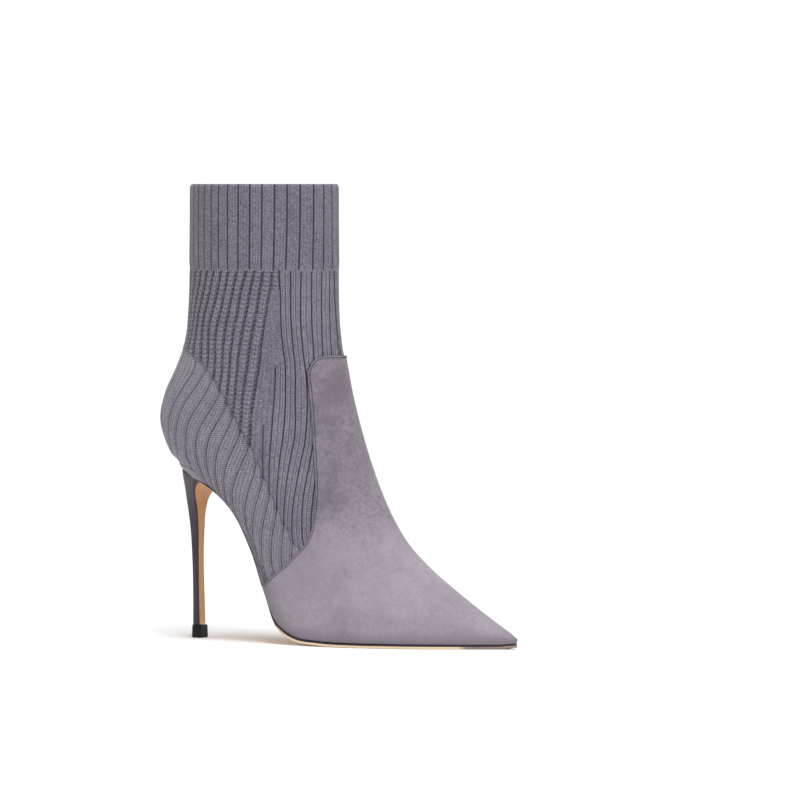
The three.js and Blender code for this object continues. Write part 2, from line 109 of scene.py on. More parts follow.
# back, up, front, high, half, widest, feather
LEG = np.array(
    [
        [0.172, -0.005, 1.052, 0.413, 0.464, 0.46, 0.72],
        [-0.241, 0.006, 1.041, 0.442, 0.472, 0.46, 0.50],
        [-0.448, 0.010, 1.037, 0.460, 0.476, 0.46, 0.26],
        [-0.543, 0.028, 1.033, 0.477, 0.479, 0.46, 0.04],
        [-0.819, 0.093, 1.025, 0.515, 0.488, 0.46, 0.00],
        [-1.000, 0.169, 1.020, 0.552, 0.494, 0.47, 0.00],
        [-0.853, 0.262, 1.014, 0.599, 0.500, 0.48, 0.00],
        [-0.500, 0.355, 1.010, 0.645, 0.500, 0.49, 0.00],
        [-0.224, 0.448, 1.007, 0.698, 0.500, 0.50, 0.00],
        [-0.121, 0.558, 1.003, 0.767, 0.500, 0.50, 0.00],
        [-0.078, 0.767, 1.001, 0.872, 0.500, 0.50, 0.00],
        [-0.060, 1.000, 1.000, 1.000, 0.500, 0.50, 0.00],
    ]
)
low_x, low_z = FOOT[:, 0] * REACH, FLAT + FOOT[:, 1] * HEEL_HEIGHT
foot_rows = [low_x, low_z, low_x + FOOT[:, 2] * INSTEP, low_z + FOOT[:, 3] * INSTEP]
foot_rows += [FOOT[:, 4] * BALL_WIDTH, FOOT[:, 5] * BALL_WIDTH, *FOOT[:, 6:].T]
leg_rows = [LEG[:, 0] * HEEL_BACK, HEEL_HEIGHT + LEG[:, 1] * SHAFT]
leg_rows += [LEG[:, 2] * COLLAR_FRONT, HEEL_HEIGHT + LEG[:, 3] * SHAFT]
leg_rows += [LEG[:, 4] * COLLAR_WIDTH] * 2
leg_rows += [LEG[:, 5], LEG[:, 6], np.full(len(LEG), 2.0), np.zeros(len(LEG))]
ROWS = np.vstack([np.column_stack(foot_rows), np.column_stack(leg_rows)])
SEAT_ROW = len(FOOT) + 2
print(len(ROWS), "rows from the toe to the collar")

# %% [markdown]
# ## A smooth surface through the rows
# Smooth curves join the rows. A place on the boot is then given by two numbers and a side. `way` is the
# distance along the middle of the boot, from the toe at 0 to the collar. `turn` goes from 0 at the sole
# edge, or at the back of the leg, round one side to 1 on the ridge over the foot and down the front of the
# leg. The other side is its mirror image with its own width.

# %% Curves through points
steps = np.sqrt((np.diff(ROWS[:, :4], axis=0) ** 2).sum(1) / 2)
KNOT = np.r_[0, np.cumsum(steps)]
WHOLE = KNOT[-1]


def curve(knots, values, x):
    """Smooth curve through values at knots, read at x; straight on past both ends."""
    knots, values = np.asarray(knots, float), np.asarray(values, float)
    if values.ndim == 1:
        return curve(knots, values[:, None], x)[..., 0]
    x = np.atleast_1d(np.asarray(x, float))
    gap = np.diff(knots)
    rise = np.diff(values, axis=0) / gap[:, None]
    tangent = np.empty_like(values)
    tangent[0], tangent[-1] = rise[0], rise[-1]
    tangent[1:-1] = (rise[:-1] * gap[1:, None] + rise[1:] * gap[:-1, None]) / (gap[:-1] + gap[1:])[:, None]
    inside = np.clip(x, knots[0], knots[-1])
    i = np.clip(np.searchsorted(knots, inside, side="right") - 1, 0, len(gap) - 1)
    s, h = ((inside - knots[i]) / gap[i])[:, None], gap[i][:, None]
    y = (2 * s**3 - 3 * s**2 + 1) * values[i] + (3 * s**2 - 2 * s**3) * values[i + 1]
    y += (s**3 - 2 * s**2 + s) * h * tangent[i] + (s**3 - s**2) * h * tangent[i + 1]
    y += np.minimum(x - knots[0], 0)[:, None] * tangent[0]
    y += np.maximum(x - knots[-1], 0)[:, None] * tangent[-1]
    return y


def ease(x, a, b):
    """0 up to a and 1 from b on, with a soft start and end."""
    s = np.clip((np.asarray(x, float) - a) / (b - a), 0, 1)
    return s * s * (3 - 2 * s)


def run_along(line):
    """Distance from the first point of a line, at each of its points."""
    return np.r_[0, np.cumsum(np.linalg.norm(np.diff(line, axis=0), axis=1))]


print("length along the boot", round(WHOLE, 1), "mm")

# %% Stations along the boot
WAYS = np.linspace(0, WHOLE, 641)
TURNS = np.linspace(0, 1, 241)


def stations_at(way):
    """Everything that the sections at these distances need, one array for each name."""
    row = curve(KNOT, ROWS, way)
    a, b = (curve(KNOT, ROWS, np.clip(way + e, 0, WHOLE)) for e in (-0.5, 0.5))
    s = dict(zip(("bx", "bz", "tx", "tz", "out", "inn", "widest", "feather", "round", "sink"), row.T))
    s["feather"], s["sink"] = np.maximum(s["feather"], 0), np.clip(s["sink"], 0, 1)
    s["depth"] = np.hypot(s["tx"] - s["bx"], s["tz"] - s["bz"])
    s["dx"], s["dz"] = (s["tx"] - s["bx"]) / s["depth"], (s["tz"] - s["bz"]) / s["depth"]
    low = np.hypot(b[:, 0] - a[:, 0], b[:, 1] - a[:, 1])
    high = np.hypot(b[:, 2] - a[:, 2], b[:, 3] - a[:, 3])
    s["nx"], s["nz"] = (b[:, 1] - a[:, 1]) / low, (a[:, 0] - b[:, 0]) / low
    mx, mz = (b[:, 3] - a[:, 3]) / high, (a[:, 2] - b[:, 2]) / high
    s["low"] = 1 / np.maximum(s["nx"] * s["dx"] + s["nz"] * s["dz"], 0.35)
    s["high"] = 1 / np.maximum(mx * s["dx"] + mz * s["dz"], 0.35)
    run = np.hypot((a[:, 0] + a[:, 2] - b[:, 0] - b[:, 2]) / 2, (a[:, 1] + a[:, 3] - b[:, 1] - b[:, 3]) / 2)
    s["taper"] = np.hypot(1, (a[:, 4] - b[:, 4]) / run)
    return s


STATIONS = stations_at(WAYS)
back_rows = np.nonzero(STATIONS["feather"] <= 0)[0]
WRAP = WAYS[back_rows[0]]
print("the sole opening closes at", round(WRAP, 1), "mm along the boot")

# %% [markdown]
# ## Skins
# A skin is that surface moved out or in by a fixed distance, as a shoemaker lays lining, knit and suede
# over the last. Each skin is a dense table of points with their normals, and pieces read any place between
# them. The lowest centimetre round the seat is drawn in a little, as the knit is pulled tight over the edge
# of the heel.


# %% Skins over the last
SEAT_IN = 0.3
SEAT_MIDDLE = 10.0
SEAT_LEVELS = (99.0, 111.5)
SEAT_RUN = (-8.0, 18.0)


def seat_in(points):
    """The same points, those round the seat drawn in towards the middle of the heel."""
    x, y, z = np.moveaxis(points, -1, 0)
    share = 1 - SEAT_IN * (1 - ease(z, *SEAT_LEVELS)) * (1 - ease(x, *SEAT_RUN))
    return np.stack([SEAT_MIDDLE + (x - SEAT_MIDDLE) * share, y * share, z], -1)


class Skin:
    """The boot's surface at `level` millimetres outside the knit, for both sides (-1 outer, 1 inner)."""

    def __init__(self, level):
        self.level = level
        self.points, self.normals, self.arc = {}, {}, {}
        for side in (-1, 1):
            self.points[side], self.arc[side] = self.lay(level, side)
            self.normals[side] = self.facing(self.points[side], side)

    def lay(self, level, side):
        s = STATIONS
        move = level - s["sink"] * SINK
        open_share = np.minimum(s["feather"] / 0.3, 1)
        lower = (level if level < 0 else level * (1 - open_share)) * s["low"]
        depth = s["depth"] + lower + move * s["high"]
        widest = (s["widest"] * s["depth"] + lower) / depth
        plain = s["out"] if side < 0 else s["inn"]
        width = plain + move * s["taper"]
        feather = np.maximum((s["feather"] * plain + move * s["taper"] * open_share) / width, 0)
        angle = np.linspace(0, np.pi, 321)
        cosine, sine, rising = np.abs(np.cos(angle)), np.clip(np.sin(angle), 0, 1), angle <= np.pi / 2
        table, arc = np.zeros((len(WAYS), len(TURNS), 3)), np.zeros(len(WAYS))
        for k in range(len(WAYS)):
            power = 2 / s["round"][k]
            h = np.where(rising, widest[k] * (1 - cosine), widest[k] + (1 - widest[k]) * cosine**power)
            y = np.where(rising, feather[k] + (1 - feather[k]) * sine, sine**power)
            run = np.r_[0, np.cumsum(np.hypot(np.diff(h) * depth[k], np.diff(y) * width[k]))]
            arc[k] = run[-1]
            h, y = np.interp(TURNS * run[-1], run, h), np.interp(TURNS * run[-1], run, y)
            y[-1] = 0
            table[k, :, 0] = s["bx"][k] - s["dx"][k] * lower[k] + s["dx"][k] * h * depth[k]
            table[k, :, 1] = side * width[k] * y
            table[k, :, 2] = s["bz"][k] - s["dz"][k] * lower[k] + s["dz"][k] * h * depth[k]
        return seat_in(table), arc

    def facing(self, points, side):
        n = np.cross(np.gradient(points, axis=0), np.gradient(points, axis=1)) * side
        n[:, -1, 1] = 0
        n[back_rows, 0, 1] = 0
        n[0] = n[1]
        return n / (np.linalg.norm(n, axis=2, keepdims=True) + 1e-12)

    def read(self, table, way, turn):
        way, turn = np.broadcast_arrays(np.asarray(way, float), np.asarray(turn, float))
        i = np.clip(way / WHOLE * (len(WAYS) - 1), 0, len(WAYS) - 1.0001)
        j = np.clip(turn * (len(TURNS) - 1), 0, len(TURNS) - 1)
        i0 = i.astype(int)
        j0 = np.minimum(j.astype(int), len(TURNS) - 2)
        u, v = i - i0, j - j0
        if table.ndim == 3:
            u, v = u[..., None], v[..., None]
        near = table[i0, j0] * (1 - v) + table[i0, j0 + 1] * v
        far = table[i0 + 1, j0] * (1 - v) + table[i0 + 1, j0 + 1] * v
        return near * (1 - u) + far * u

    def at(self, way, turn, side, out=0.0):
        """Points at these places, moved out along the normal."""
        n = self.read(self.normals[side], way, turn)
        n /= np.linalg.norm(n, axis=-1, keepdims=True)
        return self.read(self.points[side], way, turn) + n * np.asarray(out)[..., None]


KNIT_SKIN = Skin(0.0)
knit_points = np.concatenate([KNIT_SKIN.points[s].reshape(-1, 3) for s in (-1, 1)])
print("knit skin from", knit_points.min(0).round(1), "to", knit_points.max(0).round(1))

# %% [markdown]
# ## The camera
# The photograph was taken from far away with a long lens, level with the collar and in line with the heel,
# 30 degrees round towards the toe. The camera comes before the pieces, because the rib lines are placed by
# where the photograph shows them.

# %% Camera
PICTURE = 800
FAR = 3900.0
MM_PER_PIXEL = 0.6
LENS_PIXELS = FAR / MM_PER_PIXEL
TURNED = math.radians(30)
HEEL_PIXEL_X = 198.5
EYE_PIXEL_Y = 184.0
TOWARDS = np.array([math.sin(TURNED), -math.cos(TURNED), 0.0])
RIGHT = np.array([math.cos(TURNED), math.sin(TURNED), 0.0])
aside = (PICTURE / 2 - HEEL_PIXEL_X) / LENS_PIXELS
down = (PICTURE / 2 - EYE_PIXEL_Y) / LENS_PIXELS

camera = bpy.data.objects.new("camera", bpy.data.cameras.new("camera"))
bpy.context.scene.collection.objects.link(camera)
camera.data.sensor_width = 36
camera.data.lens = LENS_PIXELS * math.hypot(1, aside, down) / PICTURE * 36
camera.data.clip_start, camera.data.clip_end = 0.5, 60
camera.location = Vector(TOWARDS * FAR + [0, 0, COLLAR]) / 1000
camera.rotation_euler = (math.pi / 2 - math.atan(down / math.hypot(1, aside)), 0, TURNED - math.atan(aside))
bpy.context.scene.camera = camera


def pixel_of(points):
    """Where the photograph shows these points."""
    ahead = FAR - points @ TOWARDS
    across = HEEL_PIXEL_X + LENS_PIXELS * (points @ RIGHT) / ahead
    return np.stack([across, EYE_PIXEL_Y - LENS_PIXELS * (points[..., 2] - COLLAR) / ahead], -1)


print("lens", round(camera.data.lens), "mm at", FAR / 1000, "m")

# %% [markdown]
# ## From the photograph to the surface
# A line of the knit is chosen in the photograph and written as pixels. Its place on the boot is the
# point of the outer side, facing the camera, that falls on that pixel.

# %% Find places by pixel
outer_points, outer_normals = KNIT_SKIN.points[-1], KNIT_SKIN.normals[-1]
outer_pixels = pixel_of(outer_points)
faces_camera = outer_normals @ TOWARDS > 0.02


def place_of(pixel):
    """(way, turn) of the visible outer surface at one pixel."""
    off = outer_pixels - np.asarray(pixel, float)
    distance = np.where(faces_camera, (off**2).sum(2), 1e9)
    i, j = np.unravel_index(np.argmin(distance), distance.shape)
    i, j = min(max(i, 1), len(WAYS) - 2), min(max(j, 1), len(TURNS) - 2)
    along = (outer_pixels[i + 1, j] - outer_pixels[i - 1, j]) / 2
    across = (outer_pixels[i, j + 1] - outer_pixels[i, j - 1]) / 2
    di, dj = np.clip(np.linalg.lstsq(np.column_stack([along, across]), -off[i, j], rcond=0.05)[0], -1.5, 1.5)
    return WAYS[0] + (i + di) / (len(WAYS) - 1) * WHOLE, (j + dj) / (len(TURNS) - 1)


def line_of(pixels):
    """Places along a line of pixels, from the toe end to the collar end."""
    places = np.array([place_of(p) for p in pixels])
    return places[np.argsort(places[:, 0])]


print("one pixel is", MM_PER_PIXEL, "mm at the heel")

# %% [markdown]
# ## Writing meshes
# Every sewn or knitted piece here is a shell: a fine outer sheet, an inner sheet and a rim all round. The
# inner sheet is never seen, so it keeps only every fourth point, and each rim face joins four fine edges to
# one coarse edge. That keeps the piece closed with few faces.

# %% Closed shells from two sheets
def quads(grid):
    """Faces of a sheet whose points are numbered by `grid`."""
    return np.stack([grid[:-1, :-1], grid[:-1, 1:], grid[1:, 1:], grid[1:, :-1]], -1).reshape(-1, 4)


def shell(outer, inner, keep=1, wrap=None):
    """Faces of a closed body. From row `wrap` on, the first and last columns are the same points."""
    rows, cols = outer.shape[:2]
    fine = np.arange(rows * cols).reshape(rows, cols)
    coarse = np.arange(inner.shape[0] * inner.shape[1]).reshape(inner.shape[:2]) + rows * cols
    if wrap is not None:
        fine[wrap:, -1] = fine[wrap:, 0]
        coarse[wrap // keep :, -1] = coarse[wrap // keep :, 0]
    faces = quads(fine).tolist() + quads(coarse)[:, ::-1].tolist()
    last_open = (rows - 1 if wrap is None else wrap) // keep
    rims = [(fine[0], coarse[0], True, None), (fine[-1], coarse[-1], False, None)]
    rims += [(fine[:, 0], coarse[:, 0], False, last_open), (fine[:, -1], coarse[:, -1], True, last_open)]
    for edge, back_edge, turn_over, count in rims:
        for k in range(len(back_edge) - 1 if count is None else count):
            face = [*edge[k * keep : k * keep + keep + 1], back_edge[k + 1], back_edge[k]]
            faces.append([int(v) for v in (face[::-1] if turn_over else face)])
    points = np.concatenate([outer.reshape(-1, 3), inner.reshape(-1, 3)])
    return points, faces


def rings(loops):
    """Faces of a closed body through loops of equal length, with a centre point in each end."""
    loops = np.asarray(loops)
    rows, cols = loops.shape[:2]
    grid = np.arange(rows * cols).reshape(rows, cols)
    around = np.roll(grid, -1, axis=1)
    faces = np.stack([grid[:-1], around[:-1], around[1:], grid[1:]], -1).reshape(-1, 4).tolist()
    points = np.concatenate([loops.reshape(-1, 3), loops[[0, -1]].mean(1)])
    for row, centre, turn_over in ((0, rows * cols, True), (rows - 1, rows * cols + 1, False)):
        for a, b in zip(grid[row].tolist(), around[row].tolist()):
            faces.append([b, a, centre] if turn_over else [a, b, centre])
    return points, faces


# %% Write one piece
def write_piece(name, body, nodes, material, marks=None, flat_over=None):
    """Mesh object in metres from points in millimetres, riding on the boot."""
    points, faces = body
    used = np.unique(np.concatenate([np.asarray(f) for f in faces]))
    number = np.full(len(points), -1)
    number[used] = np.arange(len(used))
    mesh = bpy.data.meshes.new(name)
    mesh.from_pydata((points[used] / 1000).tolist(), [], [[int(number[v]) for v in f] for f in faces])
    for mark, values in (marks or {}).items():
        values = np.asarray(values, np.float32)
        values = np.concatenate([values, np.zeros(max(len(points) - len(values), 0), np.float32)])
        mesh.attributes.new(mark, "FLOAT", "POINT").data.foreach_set("value", values[used])
    work = bmesh.new()
    work.from_mesh(mesh)
    if work.calc_volume(signed=True) < 0:
        bmesh.ops.reverse_faces(work, faces=work.faces)
    open_edges = sum(1 for e in work.edges if not e.is_manifold)
    volume = work.calc_volume()
    work.to_mesh(mesh)
    work.free()
    mesh.shade_smooth()
    if flat_over is not None:
        mesh.set_sharp_from_angle(angle=math.radians(flat_over))
    mesh.materials.append(material)
    piece = bpy.data.objects.new(name, mesh)
    bpy.context.scene.collection.objects.link(piece)
    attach(piece, "root")
    if nodes:
        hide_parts(*nodes)
    count = sum(len(f) - 2 for f in faces)
    print(f"{name}: {count} triangles, {volume * 1e6:.2f} cm3, open edges {open_edges}")

# %% [markdown]
# ## Shader maths
# A material is written as Python expressions. `Value` wraps an output of a node, so that sums and products
# of values add the Math nodes by themselves, and `Paint` makes every other node.

# %% Values and paint
class Value:
    """One number that changes over the surface."""

    def __init__(self, paint, socket):
        self.paint, self.socket = paint, socket

    def math(self, operation, *others):
        return self.paint.node("ShaderNodeMath", {"operation": operation}, dict(enumerate((self, *others))))

    def __add__(self, other):
        return self.math("ADD", other)

    def __sub__(self, other):
        return self.math("SUBTRACT", other)

    def __rsub__(self, other):
        return (self * -1.0) + other

    def __mul__(self, other):
        return self.math("MULTIPLY", other)

    __radd__, __rmul__ = __add__, __mul__


class Paint:
    """A material made of nodes, with one Principled surface."""

    def __init__(self, name, **surface):
        self.material = bpy.data.materials.new(name)
        self.material.use_nodes = True
        self.tree = self.material.node_tree
        self.surface = self.tree.nodes["Principled BSDF"]
        for socket, value in surface.items():
            self.set(socket.replace("_", " "), value)

    def feed(self, socket, value):
        if isinstance(value, Value):
            self.tree.links.new(value.socket, socket)
        else:
            socket.default_value = (*value, 1) if socket.type == "RGBA" else value

    def set(self, socket, value):
        self.feed(self.surface.inputs[socket], value)

    def node(self, kind, settings=None, sockets=None, output=0):
        made = self.tree.nodes.new(kind)
        for name, value in (settings or {}).items():
            setattr(made, name, value)
        for name, value in (sockets or {}).items():
            self.feed(made.inputs[name], value)
        return Value(self, made.outputs[output])

    def mark(self, name):
        return self.node("ShaderNodeAttribute", {"attribute_name": name}, output="Fac")

    def place(self):
        return self.node("ShaderNodeTexCoord", output="Object")

    def noise(self, scale, detail=3.0, roughness=0.55):
        sockets = {"Vector": self.place(), "Scale": scale, "Detail": detail, "Roughness": roughness}
        return self.node("ShaderNodeTexNoise", {}, sockets, "Fac")

    def pores(self, scale):
        sockets = {"Vector": self.place(), "Scale": scale}
        return self.node("ShaderNodeTexVoronoi", {"feature": "F1"}, sockets, "Distance")

    def between(self, value, low, high, start=0.0, end=1.0):
        sockets = {"Value": value, "From Min": low, "From Max": high, "To Min": start, "To Max": end}
        return self.node("ShaderNodeMapRange", {"interpolation_type": "SMOOTHSTEP"}, sockets)

    def blend(self, share, a, b):
        sockets = {"Factor": share, 6: a, 7: b}
        return self.node("ShaderNodeMix", {"data_type": "RGBA"}, sockets, 2)

    def bump(self, height, depth, strength=1.0, below=None):
        sockets = {"Height": height, "Distance": depth, "Strength": strength}
        if below is not None:
            sockets["Normal"] = below
        return self.node("ShaderNodeBump", {}, sockets)


def shade(red, green, blue):
    """Linear colour from what the screen shows, 0 to 255."""
    parts = np.array([red, green, blue]) / 255
    linear = np.where(parts <= 0.04045, parts / 12.92, ((parts + 0.055) / 1.055) ** 2.4)
    return tuple(float(v) for v in linear)


print("suede, as the screen shows it:", shade(146, 136, 146))

# %% [markdown]
# ## Suede
# Suede is leather with its inner side turned out and brushed to a short nap. The nap lies different ways,
# so the same dye looks paler or darker in soft patches a few centimetres wide, with a fine grain of fibres
# over them. It has no gloss, only the pale veil that fibres show near an edge, which the sheen of the
# surface gives. On this boot the colour is darkened up the tab and just above the sole as painted shade,
# which the mesh marks as `back` and `low`.


# %% Suede
def suede(name, pale, middle, dark, edge=None):
    paint = Paint(name, Roughness=0.95, Sheen_Weight=0.1, Sheen_Roughness=0.5, Specular_IOR_Level=0.15)
    patches = paint.noise(30.0, 3.0, 0.55)
    strokes = paint.noise(150.0, 4.0, 0.65)
    fibres = paint.noise(1300.0, 2.0, 0.6)
    grain = paint.noise(420.0, 2.0, 0.6)
    share = patches * 0.42 + strokes * 0.24 + grain * 0.2 + fibres * 0.26
    if edge:
        # painted shade: darker up the tab
        share = share - paint.mark("back") * 0.2
    colour = paint.blend(paint.between(share, 0.26, 0.54), dark, middle)
    colour = paint.blend(paint.between(share, 0.5, 0.76), colour, pale)
    # painted shade: darker just above the sole on the vamp, and down the stem on the heel
    colour = paint.blend(paint.mark("low") * 0.58, colour, dark)
    if edge:
        colour = paint.blend(paint.between(paint.mark("rim"), 0.82, 1.0) * 0.85, colour, edge)
    paint.set("Base Color", colour)
    paint.set("Roughness", paint.between(strokes, 0.3, 0.7, 0.88, 0.98))
    nap = fibres * 0.5 + grain * 0.5
    paint.set("Normal", paint.bump(nap, 0.00022, 0.55, paint.bump(strokes, 0.0006, 0.35)))
    return paint.material


VAMP_TONES = (shade(166, 157, 167), shade(147, 138, 148), shade(112, 104, 113))
VAMP_SUEDE = suede("vamp suede", *VAMP_TONES, edge=shade(82, 74, 86))
BAND_SUEDE = suede("band suede", shade(150, 145, 152), shade(136, 131, 138), shade(118, 113, 122))
HEEL_SUEDE = suede("heel suede", shade(100, 95, 102), shade(84, 78, 86), shade(52, 46, 54))
print("suedes:", VAMP_SUEDE.name, BAND_SUEDE.name, HEEL_SUEDE.name)

# %% [markdown]
# ## Knit
# The mesh carries the broad relief of the ribs, and a mark with the number of the rib at every point. From
# it the material draws what is too fine for the mesh: the thin dark line where two ribs meet, rows of V
# shaped stitches that follow each rib, the twist of the rope ribs, and the fuzz of the yarn. The dark lines
# are painted shade in the furrows, with some of the yarn's own darker tone, and the stitches and the rope's
# twist also lighten and darken the colour as painted shade of their relief, besides their bumps. The `dark`
# mark from the mesh adds painted shade in the furrows and creases and beside the seam.

# %% Knit
# millimetres up to the next row of stitches, columns of stitches in a rib, millimetres a turn of the rope
COURSE, WALES, ROPE_TURN = 1.15, 4.0, 2.7


def knitted():
    paint = Paint("knit", Roughness=0.92, Sheen_Weight=0.12, Sheen_Roughness=0.5, Specular_IOR_Level=0.18)
    rib, up, dark, rope, hem = (paint.mark(name) for name in ("rib", "up", "dark", "rope", "hem"))
    pairs, heel, pace = (paint.mark(name) for name in ("pairs", "heel", "pace"))
    streak = paint.noise(260.0, 2.0, 0.5)
    fuzz = paint.noise(1000.0, 3.0, 0.7)
    # millimetres from the nearest furrow, and from the nearest one between two fine ribs
    off = ((rib + 0.5).math("FRACT") - 0.5) * pace + (streak - 0.5) * 0.5
    off_fine = ((rib * 2.0 + 0.5).math("FRACT") - 0.5) * pace * 0.5 + (streak - 0.5) * 0.4
    on_line = paint.between(off.math("ABSOLUTE"), 0.8, 0.15)
    on_fine = paint.between(off_fine.math("ABSOLUTE"), 0.6, 0.1)
    second = paint.between((off + 1.15).math("ABSOLUTE"), 0.55, 0.1)
    # painted shade, with some of the yarn's own darker tone: thin dark lines along the furrows of the heel
    # ribs and the front pairs
    line = heel * (on_line * 0.55 + second * 0.42) + pairs * (on_line * 0.6 + on_fine * 0.42)
    line = line * (streak + 0.55)
    across = (rib * WALES).math("FRACT")
    slant = (across - 0.5).math("ABSOLUTE")
    loops = ((up + streak * 0.9 + fuzz * 0.8) * (2 * math.pi / COURSE) + slant * 5.5).math("SINE")
    wale = (across * math.pi).math("SINE")
    stitch = (loops * 0.5 * wale + wale * 0.5) * (heel * 0.5 + pairs * 0.35 + rope * 0.3 + 0.45)
    bead = up * (1 / ROPE_TURN) + rib.math("FRACT") * 0.45 + streak * 0.3
    bead = (bead * (2 * math.pi)).math("SINE") * rope
    tone = paint.noise(34.0, 3.0, 0.55)
    # the stitches and the rope's twist lighten and darken the colour, as painted shade of their relief
    share = stitch * 0.3 + fuzz * 0.72 + tone * 0.16 + streak * 0.12 + bead * 0.07 + heel * 0.04 + 0.07
    colour = paint.blend(paint.between(share, 0.4, 1.0), shade(80, 76, 88), shade(166, 161, 172))
    # painted shade in the furrows: the `dark` mark, the furrow lines and the rope's twist darken the colour
    furrow_painted_shade = paint.between(dark + line + bead * 0.2 + (fuzz - 0.5) * 0.5, 0.1, 0.8)
    colour = paint.blend(furrow_painted_shade * 0.9, colour, shade(46, 41, 56))
    colour = paint.blend(hem * paint.between(fuzz, 0.35, 0.6), colour, shade(170, 165, 176))
    paint.set("Base Color", colour)
    paint.set("Roughness", paint.between(fuzz, 0.2, 0.8, 0.85, 0.98))
    rough = paint.bump(fuzz, 0.0003, 0.6)
    paint.set("Normal", paint.bump(stitch * 0.8 + bead * 0.8 - line * 0.8, 0.0005, 0.6, rough))
    return paint.material


KNIT = knitted()
print("courses are", COURSE, "mm high")


# %% [markdown]
# ## Leather, lining, rubber and thread
# The sole leather is smooth and a little glossy, with a natural tan face and a dark painted edge. The
# lining is soft leather, the heel tip hard rubber, and the thread is waxed.

# %% Leather
# metres up where the tan turns pale towards the ground, and metres along where the toe turns brown, which is
# painted shade under the rising toe together with the tint of worn leather
PALE_HEIGHTS, TOE_SHADE_RUN = (0.012, 0.002), (0.184, 0.190)


def leather():
    paint = Paint("sole leather", Coat_Roughness=0.3, Specular_IOR_Level=0.45)
    pores = paint.pores(1500.0)
    clouds = paint.noise(45.0, 3.0, 0.5)
    streak = paint.noise(300.0, 2.0, 0.5)
    cloudy = paint.between(clouds + streak * 0.4, 0.45, 0.95)
    colour = paint.blend(cloudy, shade(190, 136, 80), shade(208, 158, 102))
    run, height = (paint.node("ShaderNodeSeparateXYZ", {}, {"Vector": paint.place()}, axis) for axis in "XZ")
    colour = paint.blend(paint.between(height, *PALE_HEIGHTS), colour, shade(238, 212, 178))
    # painted shade under the rising toe, with the tint of worn leather
    colour = paint.blend(paint.between(run, *TOE_SHADE_RUN), colour, shade(150, 126, 114))
    paint_share = paint.between(paint.mark("paint") + (streak - 0.5) * 0.1, 0.35, 0.6)
    paint.set("Base Color", paint.blend(paint_share, colour, shade(40, 34, 42)))
    paint.set("Roughness", paint.between(clouds, 0.3, 0.7, 0.42, 0.56))
    paint.set("Normal", paint.bump(pores, 0.00012, 0.25))
    return paint.material


def soft_leather():
    paint = Paint("lining leather", Specular_IOR_Level=0.35)
    pores = paint.pores(1100.0)
    clouds = paint.noise(30.0, 3.0, 0.5)
    cloudy = paint.between(clouds, 0.3, 0.7)
    paint.set("Base Color", paint.blend(cloudy, shade(100, 94, 104), shade(122, 115, 125)))
    paint.set("Roughness", paint.between(clouds, 0.3, 0.7, 0.6, 0.75))
    paint.set("Normal", paint.bump(pores, 0.0002, 0.35))
    return paint.material


def rubber():
    paint = Paint("tip rubber", Specular_IOR_Level=0.25)
    grain = paint.noise(700.0, 3.0, 0.6)
    wear = paint.noise(120.0, 3.0, 0.5)
    paint.set("Base Color", paint.blend(paint.between(wear, 0.35, 0.75), shade(4, 4, 8), shade(14, 13, 18)))
    paint.set("Roughness", paint.between(grain, 0.3, 0.7, 0.38, 0.55))
    paint.set("Normal", paint.bump(grain, 0.0001, 0.3))
    return paint.material


def thread():
    paint = Paint("thread", Specular_IOR_Level=0.35)
    twist = paint.noise(1500.0, 2.0, 0.5)
    # painted shade: the thread's dark colour stands partly for the shade in the stitch holes
    paint.set("Base Color", paint.blend(paint.between(twist, 0.3, 0.7), shade(34, 29, 40), shade(62, 54, 68)))
    paint.set("Roughness", paint.between(twist, 0.3, 0.7, 0.6, 0.8))
    paint.set("Normal", paint.bump(twist, 0.0001, 0.4))
    return paint.material


SOLE_LEATHER, LINING, TIP_RUBBER, THREAD = leather(), soft_leather(), rubber(), thread()
print("finishes ready:", len(bpy.data.materials))

# %% [markdown]
# ## The edge of the vamp
# The vamp ends on a curved seam: up from the sole behind the ball, along the side of the ankle, and over
# the front in a tab with rounded corners. The seam is one line in the side view, cut through both sides, so
# for every `turn` there is one distance along the boot where the suede stops.

# %% Seam line
# share of reach along, share of heel height and shaft up
SEAM = np.array(
    [
        [0.190, 0.060],
        [0.215, 0.085],
        [0.278, 0.126],
        [0.322, 0.152],
        [0.364, 0.176],
        [0.400, 0.201],
        [0.425, 0.222],
        [0.437, 0.240],
        [0.442, 0.266],
        [0.445, 0.327],
        [0.441, 0.365],
        [0.434, 0.414],
        [0.423, 0.490],
        [0.410, 0.560],
        [0.404, 0.588],
        [0.407, 0.602],
        [0.413, 0.614],
        [0.423, 0.622],
        [0.437, 0.626],
        [0.470, 0.626],
        [0.700, 0.626],
    ]
) * [REACH, COLLAR]
seam_run = run_along(SEAM)
seam_fine = curve(seam_run, SEAM, np.linspace(0, seam_run[-1], 500))
SUEDE_OUT = Skin(GAP + SUEDE_WALL)
SUEDE_IN = Skin(GAP)


def vamp_end(side):
    """Distance along the boot where the suede stops, for each of TURNS."""
    ends = np.zeros(len(TURNS))
    way = np.linspace(110, 300, 400)
    heading = np.gradient(seam_fine, axis=0)
    for j, turn in enumerate(TURNS):
        path = SUEDE_OUT.read(SUEDE_OUT.points[side], way, turn)[:, [0, 2]]
        nearest = ((path[:, None] - seam_fine[None]) ** 2).sum(2).argmin(1)
        off = path - seam_fine[nearest]
        t = heading[nearest] / np.linalg.norm(heading[nearest], axis=1, keepdims=True)
        past = t[:, 0] * off[:, 1] - t[:, 1] * off[:, 0]
        k = np.nonzero((past[:-1] < 0) & (past[1:] >= 0))[0][-1]
        ends[j] = way[k] + (way[k + 1] - way[k]) * past[k] / (past[k] - past[k + 1])
    return ends


